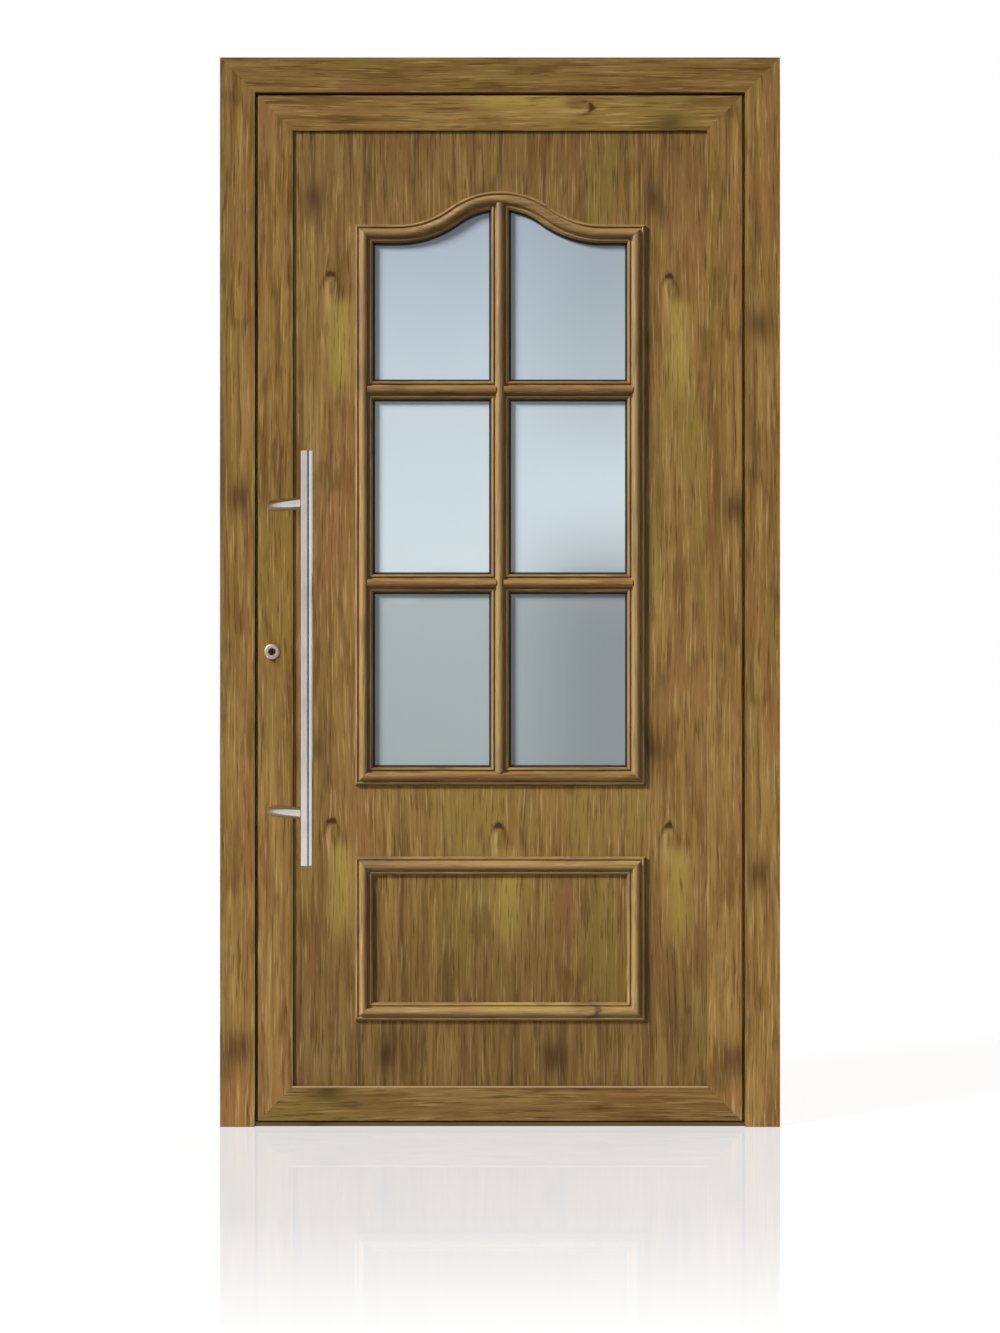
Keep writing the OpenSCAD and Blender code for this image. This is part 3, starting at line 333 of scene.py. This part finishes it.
def start_material(name):
    """A new material: its graph, its shader node and the place on the object in metres."""
    material = bpy.data.materials.new(name)
    material.use_nodes = True
    graph = Graph(material.node_tree)
    shader = material.node_tree.nodes["Principled BSDF"]
    place = graph.add("TexCoord").outputs["Object"]
    return material, graph, shader, place


def add_bump(graph, shader, height, strength, distance):
    bump = graph.add("Bump")
    bump.inputs["Strength"].default_value = strength
    bump.inputs["Distance"].default_value = distance
    graph.feed(bump.inputs["Height"], height)
    graph.feed(shader.inputs["Normal"], bump.outputs["Normal"])


# Wood decor

def wood_pattern():
    """Node group: colour, roughness and relief of the decor, from (across, along, depth) in metres."""
    tree = bpy.data.node_groups.new("wood decor", "ShaderNodeTree")
    tree.interface.new_socket("Grain", in_out="INPUT", socket_type="NodeSocketVector")
    for name, kind in (("Color", "Color"), ("Roughness", "Float"), ("Height", "Float")):
        tree.interface.new_socket(name, in_out="OUTPUT", socket_type="NodeSocket" + kind)
    graph = Graph(tree)
    grain = tree.nodes.new("NodeGroupInput").outputs["Grain"]
    u, v, lines = place_in_repeat(graph, grain)
    noise = {name: graph.noise(lines, *given) for name, given in LINE_NOISE.items()}
    noise.update({name: graph.noise(grain, *given) for name, given in PATCH_NOISE.items()})

    colour = graph.ramp(noise["streaks"], STREAK_TONES)
    colour = add_layers(graph, colour, noise, BROAD_LAYERS)
    strip = streak(graph, u, v, *OLIVE_STRIP)
    colour = graph.mix(graph.product(strip, STRIP_SHARE), colour, linear(WOOD_GLOW))
    colour = add_layers(graph, colour, noise, FINE_LAYERS)
    colour = add_blots(graph, colour, noise["streaks"], u, v)
    colour = add_knot(graph, colour, grain, noise["threads"], u, v)

    outlet = tree.nodes.new("NodeGroupOutput")
    graph.feed(outlet.inputs["Color"], colour)
    graph.feed(outlet.inputs["Roughness"], graph.fade(noise["threads"], *NOISE_RANGE, *WOOD_ROUGHNESS))
    graph.feed(outlet.inputs["Height"], graph.blend(noise["threads"], noise["pores"], 0.6))
    return tree


def place_in_repeat(graph, grain):
    """Distance across and along from the nearest knot, and the grain's lines, which run round the knots."""
    across, along, depth = graph.parts(grain)
    sway = graph.math("SUBTRACT", graph.noise(grain, *SWAY), 0.5)
    swayed = graph.math("MULTIPLY_ADD", sway, SWAY_ACROSS, across)
    shifted = graph.math("MULTIPLY_ADD", sway, SWAY_ALONG, along)
    u = graph.math("WRAP", swayed, REPEAT_ACROSS / 2, -REPEAT_ACROSS / 2)
    v = graph.math("WRAP", shifted, REPEAT_ALONG / 2, -REPEAT_ALONG / 2)
    near = graph.bell(graph.math("DIVIDE", u, KNOT_REACH[0]), graph.math("DIVIDE", v, KNOT_REACH[1]))
    spread = graph.math("SUBTRACT", swayed, graph.product(u, near, KNOT_SPREAD))
    return u, v, graph.vector(spread, along, depth)


def add_layers(graph, colour, noise, layers):
    for name, start, full, share, tone in layers:
        colour = graph.mix(graph.fade(noise[name], start, full, 0.0, share), colour, linear(tone))
    return colour


def streak(graph, u, v, middle, half, lower_end, upper_end):
    """Share of a soft streak along the grain."""
    across = graph.bell(graph.ratio(u, middle, half))
    return graph.product(across, graph.fade(v, *lower_end), graph.fade(v, *upper_end))


def add_blots(graph, colour, streaks, u, v):
    for blot_u, blot_v, half_u, half_v, strength in BLOTS:
        blot = graph.bell(graph.ratio(u, blot_u, half_u), graph.ratio(v, blot_v, half_v))
        share = graph.product(blot, graph.fade(streaks, *BLOT_STREAKS), strength)
        colour = graph.mix(share, colour, linear(BLOT))
    return colour


def add_knot(graph, colour, grain, threads, u, v):
    """A dark crown with two legs that open downwards, and a pale and a dark streak between them."""
    ragged = graph.math("SUBTRACT", graph.noise(grain, *RAGGED), 0.5)
    below = graph.math("MAXIMUM", graph.product(v, -1.0), 0.0)
    opening = graph.math("MULTIPLY_ADD", below, LEG_SPREAD, 1.0)
    beside = graph.math("DIVIDE", graph.math("DIVIDE", u, KNOT_HALF), opening)
    above = graph.math("DIVIDE", graph.math("MAXIMUM", v, 0.0), KNOT_RISE)
    ring = graph.math("MULTIPLY_ADD", ragged, KNOT_RAGGED, graph.length(beside, above))
    leg = graph.bell(graph.ratio(ring, 1.0, LEG_WIDTH))
    legs = graph.product(leg, graph.fade(v, -LEG_LENGTH, 0.0), graph.fade(threads, *LEG_BREAKS))
    crown = graph.product(graph.fade(ring, *CROWN_EDGE), graph.fade(v, *CROWN_FOOT))
    wandering = graph.math("MULTIPLY_ADD", ragged, STREAK_WANDER, u)
    marks = [
        (streak(graph, u, v, *PALE_STREAK), 0.55, ARCH_LIGHT),
        (legs, 0.75, ARCH_DARK),
        (streak(graph, wandering, v, *DARK_STREAK), 0.50, ARCH_DARK),
        (crown, 0.90, KNOT),
    ]
    for mark, share, tone in marks:
        colour = graph.mix(graph.product(mark, share), colour, linear(tone))
    return colour


def upright_grain(graph, x, z):
    return x, z


def level_grain(graph, x, z):
    return z, x


def mitred_grain(low, high):
    """Grain of a frame of four mitred lengths: each runs along its own side."""
    middle = (low + high) / 2
    half = (high - low) / 2

    def choose(graph, x, z):
        across = graph.math("ABSOLUTE", graph.math("SUBTRACT", x, middle.x))
        along = graph.math("ABSOLUTE", graph.math("SUBTRACT", z, middle.z))
        from_side = graph.math("SUBTRACT", half.x, across)
        from_end = graph.math("SUBTRACT", half.z, along)
        return swap_where(graph, graph.math("LESS_THAN", from_end, from_side), x, z)

    return choose


def crossbar_grain(half_width):
    """Grain of crossbars: level, but upright within half_width of the middle."""

    def choose(graph, x, z):
        level = graph.math("GREATER_THAN", graph.math("ABSOLUTE", x), half_width)
        return swap_where(graph, level, x, z)

    return choose


def swap_where(graph, level, x, z):
    """(x, z) where level is 0 and (z, x) where it is 1."""
    apart = graph.math("SUBTRACT", z, x)
    across = graph.math("MULTIPLY_ADD", apart, level, x)
    along = graph.math("SUBTRACT", graph.math("ADD", x, z), across)
    return across, along


def wood(name, direction, knot=(0.0, KNOT_HEIGHT), sheen=0.12, pale=0.0, shade=0.0, edge=None):
    """Wood decor with its grain in one direction and an arched knot at the given place across and along it.

    sheen is its gloss, pale how much of the painted highlight tone it takes, shade how much painted shade
    darkens it high up and low down on the door, and edge the height of a painted highlight line.
    """
    material, graph, shader, place = start_material(name)
    x, y, z = graph.parts(place)
    across, along = direction(graph, x, z)
    across = graph.math("SUBTRACT", across, knot[0])
    along = graph.math("SUBTRACT", along, knot[1])
    pattern = graph.add("Group", node_tree=WOOD_PATTERN)
    graph.feed(pattern.inputs["Grain"], graph.vector(across, along, y))
    colour = pattern.outputs["Color"]
    # Painted highlight: a paler tone where the mouldings catch the light
    if pale:
        colour = graph.mix(pale, colour, linear(TRIM_HIGHLIGHT_TONE))
    # Painted highlight: a pale line along the lit upper edge of a bevel
    if edge:
        line = graph.bell(graph.ratio(z, edge, EDGE_HIGHLIGHT_HALF))
        colour = graph.mix(graph.product(line, EDGE_HIGHLIGHT_SHARE), colour, linear(EDGE_HIGHLIGHT_TONE))
    # Painted shade: darker high up and low down on the door
    from_middle = graph.math("ABSOLUTE", graph.math("SUBTRACT", z, DOOR_MIDDLE))
    dimmed = graph.add("VectorMath", operation="SCALE")
    graph.feed(dimmed.inputs[0], colour)
    graph.feed(dimmed.inputs["Scale"], graph.fade(from_middle, *SHADE_REACH, 1.0, 1.0 - shade))
    graph.feed(shader.inputs["Base Color"], dimmed.outputs[0])
    graph.feed(shader.inputs["Roughness"], pattern.outputs["Roughness"])
    shader.inputs["Specular IOR Level"].default_value = sheen
    add_bump(graph, shader, pattern.outputs["Height"], strength=0.2, distance=0.0005)
    return material


# Other materials

def satin_glass():
    """Pale obscured glass under a smooth polished surface, with a painted reflection: a little bluer high up
    and greyer low down.
    """
    material, graph, shader, place = start_material("satin glass")
    x, _, z = graph.parts(place)
    # Painted reflection: the colour follows the height and place on the panes
    low, high = GLASS_REFLECTION_TINTS[0][0], GLASS_REFLECTION_TINTS[-1][0]
    cloud = graph.math("SUBTRACT", graph.noise(place, *GLASS_CLOUDS), 0.5)
    height = graph.math("MULTIPLY_ADD", cloud, CLOUD_SHIFT, z)
    stops = [((h - low) / (high - low), reflected_tint) for h, reflected_tint in GLASS_REFLECTION_TINTS]
    reflected_tint = graph.ramp(graph.ratio(height, low, high - low), stops)
    bright_row = graph.bell(graph.ratio(z, *BRIGHT_ROW))
    right = graph.product(graph.fade(x, *SHADE_ACROSS), graph.fade(z, *SHADE_DOWN))
    dim = graph.product(right, graph.math("SUBTRACT", 1.0, bright_row))
    graph.feed(shader.inputs["Base Color"], graph.mix(dim, reflected_tint, linear(GLASS_REFLECTION_SHADE)))
    frost = graph.noise(place, *GLASS_FROST)
    graph.feed(shader.inputs["Roughness"], graph.fade(frost, *NOISE_RANGE, *FROST_ROUGHNESS))
    shader.inputs["Specular IOR Level"].default_value = 0.4
    shader.inputs["Coat Weight"].default_value = 0.5
    shader.inputs["Coat Roughness"].default_value = 0.03
    add_bump(graph, shader, frost, strength=0.05, distance=0.0002)
    return material


def brushed_metal(name, colour, scale, roughness):
    """Metal with fine brush lines; scale gives the lines a metre in each direction."""
    material, graph, shader, place = start_material(name)
    lines = graph.noise(place, scale, 2.0)
    tone = graph.blend(graph.noise(place, *METAL_SMEAR), lines, 0.4)
    darker = [c * 0.86 for c in colour]
    graph.feed(shader.inputs["Base Color"], graph.ramp(tone, [(0.3, darker), (0.65, colour)]))
    spread = (roughness - 0.05, roughness + 0.06)
    graph.feed(shader.inputs["Roughness"], graph.fade(lines, *NOISE_RANGE, *spread))
    shader.inputs["Metallic"].default_value = 1.0
    add_bump(graph, shader, lines, strength=0.06, distance=0.0002)
    return material


def cast_finish(name, colour, metallic, roughness, speckle, relief):
    """Cast, plated or moulded finish: cloudy tone and a fine speckled relief."""
    material, graph, shader, place = start_material(name)
    grains = graph.noise(place, (speckle, speckle, speckle), 2.0)
    tone = graph.blend(graph.noise(place, *CAST_CLOUDS), grains, 0.6)
    paler = [min(255, c * 1.12 + 6) for c in colour]
    darker = [c * 0.82 for c in colour]
    graph.feed(shader.inputs["Base Color"], graph.ramp(tone, [(0.35, darker), (0.5, colour), (0.65, paler)]))
    spread = (roughness - 0.06, roughness + 0.08)
    graph.feed(shader.inputs["Roughness"], graph.fade(grains, *NOISE_RANGE, *spread))
    shader.inputs["Metallic"].default_value = metallic
    add_bump(graph, shader, grains, strength=relief, distance=0.0004)
    return material


def rubber(name, colour):
    return cast_finish(name, colour, metallic=0.0, roughness=0.62, speckle=1200.0, relief=0.15)


def dress(material, *names):
    """Gives CAD nodes their material."""
    for name in names:
        for slot in nodes[name].material_slots:
            slot.material = material


def dress_wood():
    # shade is painted shade, darker high up and low down on the door
    dress(wood("wood panel", upright_grain, shade=0.34), "infill_panel")
    dress(wood("wood lock jamb", upright_grain, (-0.62, 1.69)), "frame_jamb_lock")
    dress(wood("wood hinge jamb", upright_grain, (0.40, 0.95)), "frame_jamb_hinge")
    dress(wood("wood lock stile", upright_grain, (-0.29, 0.88)), "leaf_stile_lock", "glazing_bead_lock")
    dress(wood("wood hinge stile", upright_grain, (0.352, 1.667)), "leaf_stile_hinge", "glazing_bead_hinge")
    dress(wood("wood head", level_grain, (1.90, -0.10), shade=0.18), "frame_head")
    top_rail = wood("wood top rail", level_grain, (2.004, 0.18))
    dress(top_rail, "leaf_rail_top", "glazing_bead_top", "glazing_bead_bottom")
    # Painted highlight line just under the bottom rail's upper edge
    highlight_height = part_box("leaf_rail_bottom")[1].z - EDGE_HIGHLIGHT_DROP
    low_rail = wood("wood bottom rail", level_grain, (0.103, -0.491), shade=0.28, edge=highlight_height)
    dress(low_rail, "leaf_rail_bottom")
    dress_straight_trim()
    dress_mitred_trim()


def dress_straight_trim():
    # The last number of a moulding is its painted highlight: uprights, lit from the left, take more than
    # level bars
    uprights = wood("wood upright trim", upright_grain, (0.09, 1.32), TRIM_SHEEN, 0.20)
    dress(uprights, "window_trim_lock", "window_trim_hinge")
    levels = wood("wood crossbars", level_grain, (1.19, 0.62), TRIM_SHEEN)
    dress(levels, "muntins_horizontal", "window_trim_bottom")
    dress(wood("wood arch", level_grain, (1.66, 0.45), TRIM_SHEEN, 0.12), "window_trim_arch")
    dress(wood("wood upright bar", upright_grain, (0.12, 0.70), TRIM_SHEEN, 0.20), "muntin_vertical")


def dress_mitred_trim():
    low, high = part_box("lower_trim")
    # 0.12 is a painted highlight, as on the arch
    lower = wood("wood lower trim", mitred_grain(low, high), (0.232, 0.192), TRIM_SHEEN, 0.12)
    dress(lower, "lower_trim", "lower_trim_inside")
    low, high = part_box("window_trim_inside")
    high.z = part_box("window_trim_lock")[1].z
    dress(wood("wood inside trim", mitred_grain(low, high), (0.1, 0.3), TRIM_SHEEN), "window_trim_inside")
    half_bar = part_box("muntin_vertical")[1].x
    dress(wood("wood inside bars", crossbar_grain(half_bar), (0.12, 0.7), TRIM_SHEEN), "muntins_inside")


def dress_brushed_metal():
    bar = brushed_metal("satin steel bar", (228, 222, 217), (2600.0, 2600.0, 40.0), 0.17)
    dress(bar, "pull_bar")
    turned = brushed_metal("turned steel", (222, 221, 218), (700.0, 700.0, 2400.0), 0.16)
    dress(turned, "pull_supports", "pull_bar_caps", "lever_handle", "lever_rosette")
    plate = brushed_metal("brushed plates", (190, 190, 188), (900.0, 900.0, 24.0), 0.28)
    dress(plate, "lock_faceplate", "strike_plate_main", "strike_plates_aux")
    bronze = brushed_metal("bronze anodised", (118, 92, 58), (30.0, 1400.0, 1400.0), 0.42)
    dress(bronze, "threshold")


def dress_cast_metal():
    satin = cast_finish("satin nickel", (188, 168, 158), 1.0, 0.46, speckle=1500.0, relief=0.05)
    dress(satin, "cylinder_rosette_outside", "cylinder_rosette_inside")
    plated = cast_finish("zinc plating", (176, 178, 180), 1.0, 0.36, speckle=900.0, relief=0.08)
    dress(plated, "hinge_frame_wings", "hinge_leaf_wings", "hinge_pins")
    dress(plated, "hinge_frame_screws", "hinge_leaf_screws", "strike_screws", "pull_fixing_bolts")
    dress(plated, "lock_case", "aux_lock_cases", "drive_rods", "lever_spindle", "lock_bolts", "latch_bolt")
    brass = cast_finish("nickel brass", (150, 136, 112), 1.0, 0.34, speckle=700.0, relief=0.06)
    dress(brass, "cylinder_body")
    # Painted shade: the plug is darkened to stand for the shade deep in the rosette's hole
    dark = cast_finish("plug painted shade", (84, 62, 54), 0.7, 0.5, speckle=700.0, relief=0.06)
    dress(dark, "cylinder_plug")
    alloy = cast_finish("cast alloy", (168, 170, 172), 1.0, 0.48, speckle=500.0, relief=0.2)
    dress(alloy, "frame_corner_cleats", "leaf_corner_cleats", "glass_spacer")


def dress_soft_and_glass():
    dress(satin_glass(), "glass_outer_pane", "glass_inner_pane")
    gaskets = ["frame_gasket", "panel_gasket_outside", "panel_gasket_inside", "bottom_seal"]
    dress(rubber("brown rubber", (66, 42, 24)), *gaskets)
    dress(rubber("black tape", (26, 26, 26)), "glass_tapes")
    blocks = cast_finish("grey blocks", (120, 122, 120), 0.0, 0.5, speckle=700.0, relief=0.1)
    dress(blocks, "panel_setting_blocks")


# Small fittings

def islands(name):
    """Boxes (low, high) of the separate solids in a CAD node."""
    mesh = bmesh.new()
    mesh.from_mesh(nodes[name].data)
    bmesh.ops.remove_doubles(mesh, verts=mesh.verts, dist=1e-6)
    left = set(mesh.verts)
    boxes = []
    while left:
        todo = [left.pop()]
        found = []
        while todo:
            vert = todo.pop()
            found.append(vert.co.copy())
            for edge in vert.link_edges:
                other = edge.other_vert(vert)
                if other in left:
                    left.remove(other)
                    todo.append(other)
        low = Vector([min(p[i] for p in found) for i in range(3)])
        high = Vector([max(p[i] for p in found) for i in range(3)])
        boxes.append((low, high))
    mesh.free()
    return boxes


def add_mesh(name, verts, faces, material, body):
    data = bpy.data.meshes.new(name)
    data.from_pydata(verts, [], faces)
    data.materials.append(material)
    piece = bpy.data.objects.new(name, data)
    bpy.context.scene.collection.objects.link(piece)
    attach(piece, body)


def drive_recess(low, high, axis):
    """Outline of a cross recess just over a screw's head, which is at the high end of the axis."""
    arm, half, lift = 0.0026, 0.0006, 0.00004
    across, along = [i for i in range(3) if i != axis]
    centre = (low + high) / 2
    centre[axis] = high[axis] + lift
    outline = []
    for quarter in range(4):
        turn = quarter * math.pi / 2
        for a, b in ((half, -half), (arm, -half), (arm, half)):
            point = centre.copy()
            point[across] += a * math.cos(turn) - b * math.sin(turn)
            point[along] += a * math.sin(turn) + b * math.cos(turn)
            outline.append(point)
    return outline


def screw_recesses(node, body, axis, material):
    """One piece with dark flat crosses over all the screws in a node: painted shade that stands for their
    cross recesses.
    """
    verts = []
    faces = []
    for low, high in islands(node):
        outline = drive_recess(low, high, axis)
        faces.append([len(verts) + i for i in range(len(outline))])
        verts += outline
    add_mesh(node + "_recesses", verts, faces, material, body)


def add_boxes(name, boxes, material, body):
    """One piece made of separate upright boxes, each given as (low, high)."""
    verts = []
    faces = []
    quads = ((0, 1, 3, 2), (4, 6, 7, 5), (0, 4, 5, 1), (2, 3, 7, 6), (0, 2, 6, 4), (1, 5, 7, 3))
    for low, high in boxes:
        first = len(verts)
        verts += [(x, y, z) for x in (low[0], high[0]) for y in (low[1], high[1]) for z in (low[2], high[2])]
        faces += [[first + i for i in quad] for quad in quads]
    add_mesh(name, verts, faces, material, body)


def arch_edge(x):
    """Height of the arch's lower edge above the glass at one place across the window."""
    near_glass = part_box("window_trim_lock")[1].y - EDGE_DEPTH
    below = (x, near_glass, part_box("window_trim_bottom")[1].z)
    upwards = (0, 0, 1)
    place = nodes["window_trim_arch"].ray_cast(below, upwards)[1]
    return place.z


def arch_lip(name, left, right, lip, front, back, material):
    """Seal lip that follows the arch from left to right."""
    steps = 40
    start, reach = left + HAIR, right - left - 2 * HAIR
    places = [start + reach * i / steps for i in range(steps + 1)]
    verts = []
    for x in places:
        top = arch_edge(x)
        verts += [(x, front, top), (x, front, top - lip), (x, back, top - lip), (x, back, top)]
    faces = [(0, 1, 2, 3), [4 * steps + i for i in (3, 2, 1, 0)]]
    for first in range(0, 4 * steps, 4):
        for i in range(4):
            j = (i + 1) % 4
            faces.append((first + i, first + 4 + i, first + 4 + j, first + j))
    add_mesh(name, verts, faces, material, "leaf")


def glazing_seal_shadow(material):
    """Black seal lips between the glass and the edges of trim and crossbars: a real seal, made wide to paint
    the mouldings' shadow on the glass.
    """
    lip = SEAL_LIP
    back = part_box("glass_outer_pane")[0].y
    front = back - SEAL_DEPTH
    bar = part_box("muntin_vertical")
    rows = [box for box in islands("muntins_horizontal") if box[0].x > 0]
    sills = [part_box("window_trim_bottom")[1].z] + sorted(high.z for _, high in rows)
    heads = sorted(low.z for low, _ in rows)
    columns = [(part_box("window_trim_lock")[1].x, bar[0].x), (bar[1].x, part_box("window_trim_hinge")[0].x)]
    boxes = []
    for side, (left, right) in zip(("left", "right"), columns):
        # The lip is wider along the arch, to paint the arch's shadow on the glass
        arch_lip("arch_seal_shadow_" + side, left, right, ARCH_SEAL * lip, front, back, material)
        for sill in sills:
            boxes.append(((left + lip, front, sill), (right - lip, back, sill + lip)))
        for head in heads:
            boxes.append(((left + lip, front, head - lip), (right - lip, back, head)))
        for x0, x1 in ((left, left + lip), (right - lip, right)):
            tops = heads + [min(arch_edge(x0 + HAIR), arch_edge(x1 - HAIR))]
            boxes += [((x0, front, sill), (x1, back, top)) for sill, top in zip(sills, tops)]
    add_boxes("glazing_seal_shadow", boxes, material, "leaf")


def add_cylinder_cover():
    """Thin piece of the stile's decor over the end of the cylinder body under the outside rosette."""
    half_foot, thickness, margin, tucked_in = 0.0062, 0.0003, 0.001, 0.004
    low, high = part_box("cylinder_body")
    middle = (low.x + high.x) / 2
    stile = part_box("leaf_stile_lock")[0].y
    under_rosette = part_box("cylinder_rosette_outside")[0].z + tucked_in
    first = (middle - half_foot, stile - thickness, low.z - margin)
    last = (middle + half_foot, stile, under_rosette)
    decor = nodes["leaf_stile_lock"].material_slots[0].material
    add_boxes("cylinder_cover", [(first, last)], decor, "leaf")


def add_fittings():
    add_cylinder_cover()
    # Painted shade: dark flat crosses stand for the screws' cross recesses
    dark = cast_finish("painted recess shade", (46, 46, 48), 1.0, 0.5, speckle=900.0, relief=0.1)
    screw_recesses("hinge_frame_screws", "frame", Y_AXIS, dark)
    screw_recesses("hinge_leaf_screws", "leaf", Y_AXIS, dark)
    screw_recesses("strike_screws", "frame", X_AXIS, dark)
    # Black seal lips, wide enough to paint the mouldings' shadow on the glass
    glazing_seal_shadow(cast_finish("black seal and painted shadow", (24, 23, 22), 0.0, 0.6, speckle=1200.0, relief=0.15))


# Stage

def add_floor():
    reach = FLOOR_REACH
    corners = [(-reach, -reach, 0), (reach, -reach, 0), (reach, reach, 0), (-reach, reach, 0)]
    data = bpy.data.meshes.new("floor")
    data.from_pydata(corners, [], [(0, 1, 2, 3)])
    data.materials.append(floor_material())
    floor = bpy.data.objects.new("floor", data)
    bpy.context.scene.collection.objects.link(floor)


def floor_material():
    """Pale ground with a mirror image of the door that fades with the distance from it."""
    material = bpy.data.materials.new("pale floor")
    material.use_nodes = True
    tree = material.node_tree
    tree.nodes.remove(tree.nodes["Principled BSDF"])
    graph = Graph(tree)
    x, y, _ = graph.parts(graph.add("TexCoord").outputs["Object"])
    mirror = graph.add("BsdfGlossy")
    mirror.inputs["Color"].default_value = MIRROR_TINT
    mirror.inputs["Roughness"].default_value = MIRROR_ROUGHNESS
    away = graph.math("ABSOLUTE", y)
    image = graph.product(graph.fade(away, *MIRROR_FADE), graph.fade(away, *MIRROR_SHARE))
    surface = graph.mix_shaders(image, floor_ground(graph, x, y), mirror.outputs[0])
    graph.feed(tree.nodes["Material Output"].inputs["Surface"], surface)
    return material


def floor_ground(graph, x, y):
    """Nearly white ground that throws little light back; the pull bar mirrors the flag's foot on it."""
    seen = seen_rays(graph)
    matt = graph.add("BsdfDiffuse")
    graph.feed(matt.inputs["Color"], graph.mix(seen, linear(FLOOR_BOUNCE), linear(FLOOR_SEEN)))
    from_bar = graph.math("SUBTRACT", x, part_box("pull_bar")[0].x)
    turn = graph.math("ARCTAN2", from_bar, graph.product(y, -1.0))
    mirrored = graph.add("LightPath").outputs["Is Glossy Ray"]
    dimmed = graph.product(mirrored, flag_share(graph, turn))
    bright = graph.add("Emission")
    graph.feed(bright.inputs["Strength"], graph.math("SUBTRACT", 1.0, dimmed))
    return graph.mix_shaders(graph.product(seen, FLOOR_GLOW), matt.outputs[0], bright.outputs[0])


def seen_rays(graph):
    """1 for camera, mirror and see-through rays, 0 for rays that carry light to the object."""
    path = graph.add("LightPath").outputs
    glossy = graph.math("MAXIMUM", path["Is Glossy Ray"], path["Is Transmission Ray"])
    return graph.math("MAXIMUM", path["Is Camera Ray"], glossy)


def turn_fade(graph, turn, degrees, low=0.0, high=1.0):
    start, end = [math.radians(d) for d in degrees]
    return graph.fade(turn, start, end, low, high)


def flag_share(graph, turn):
    """Share of a dark flag that stands to the right of the camera, by the turn from straight ahead."""
    return graph.product(turn_fade(graph, turn, FLAG_LEFT), turn_fade(graph, turn, FLAG_RIGHT), FLAG_DEPTH)


def mirrored_room(graph, x, y, z):
    """What metal mirrors in front of the door: a greyer wall on the left, the flag, and one overhead."""
    turn = graph.math("ARCTAN2", x, graph.product(y, -1.0))
    overhead = graph.product(graph.fade(z, *OVERHEAD_LOW), graph.fade(z, *OVERHEAD_HIGH), OVERHEAD_DEPTH)
    return graph.product(
        turn_fade(graph, turn, WALL_TURN, WALL_TONE, 1.0),
        graph.math("SUBTRACT", 1.0, flag_share(graph, turn)),
        graph.math("SUBTRACT", 1.0, overhead),
    )


def add_world():
    """White background, and soft light that is stronger from behind."""
    world = bpy.data.worlds.new("studio")
    world.use_nodes = True
    bpy.context.scene.world = world
    graph = Graph(world.node_tree)
    background = world.node_tree.nodes["Background"]
    background.inputs["Color"].default_value = WHITE
    x, y, z = graph.parts(graph.add("TexCoord").outputs["Generated"])
    soft = graph.fade(y, *SOFT_LIGHT)
    mirrored = graph.math("MAXIMUM", mirrored_room(graph, x, y, z), graph.fade(y, *BEHIND))

    path = graph.add("LightPath").outputs
    clear = graph.math("MAXIMUM", path["Is Camera Ray"], path["Is Transmission Ray"])
    added = graph.math("SUBTRACT", mirrored, soft)
    strength = graph.math("MULTIPLY_ADD", path["Is Glossy Ray"], added, soft)
    graph.feed(background.inputs["Strength"], graph.math("MAXIMUM", strength, clear))


def add_sun(name, light, mirrored=False):
    """Soft light that travels in one direction; mirrored lets it show in glossy surfaces."""
    travel, strength, angle = light
    data = bpy.data.lights.new(name, "SUN")
    data.energy = strength
    data.angle = math.radians(angle)
    lamp = bpy.data.objects.new(name, data)
    lamp.rotation_euler = Vector(travel).to_track_quat("-Z", "Y").to_euler()
    lamp.visible_glossy = mirrored
    bpy.context.scene.collection.objects.link(lamp)
    return lamp


def node_group(name, names, state):
    """CAD nodes that a lamp is kept to (INCLUDE) or kept off (EXCLUDE)."""
    group = bpy.data.collections.new(name)
    for node in names:
        group.objects.link(nodes[node])
    for linked in group.collection_objects:
        linked.light_linking.link_state = state
    return group


def add_lights():
    """Light from the left on panel and mouldings, from the front on flat pieces, and soft light behind."""
    flat_alone = node_group("flat pieces alone", FLAT_PIECES, "INCLUDE")
    no_pull_shadow = node_group("no shadow of the pull", PULL_PIECES, "EXCLUDE")
    key = add_sun("key light", KEY_LIGHT, mirrored=True)
    key.light_linking.receiver_collection = node_group("off the key", PULL_PIECES + FLAT_PIECES, "EXCLUDE")
    key.light_linking.blocker_collection = no_pull_shadow
    for name, light in (("face light", FACE_LIGHT), ("gap light", GAP_LIGHT)):
        lamp = add_sun(name, light)
        lamp.light_linking.receiver_collection = flat_alone
        lamp.light_linking.blocker_collection = no_pull_shadow
    add_sun("front light", FRONT_LIGHT)
    add_sun("back light", BACK_LIGHT)


def add_camera():
    """Camera straight in front of the door, at the height of the photograph's middle row."""
    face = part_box("frame_head")[0].y
    data = bpy.data.cameras.new("camera")
    data.sensor_fit = "VERTICAL"
    data.sensor_height = SENSOR_HEIGHT
    data.lens = SENSOR_HEIGHT * CAMERA_DISTANCE / (IMAGE_ROWS * PIXEL)
    camera = bpy.data.objects.new("camera", data)
    camera.location = (0.0, face - CAMERA_DISTANCE, (DOOR_FOOT_ROW - IMAGE_ROWS / 2) * PIXEL)
    camera.rotation_euler = (math.pi / 2, 0.0, 0.0)
    bpy.context.scene.collection.objects.link(camera)
    bpy.context.scene.camera = camera


WOOD_PATTERN = wood_pattern()
dress_wood()
dress_brushed_metal()
dress_cast_metal()
dress_soft_and_glass()
add_fittings()
add_floor()
add_world()
add_lights()
add_camera()
bpy.context.scene.view_settings.view_transform = "Standard"
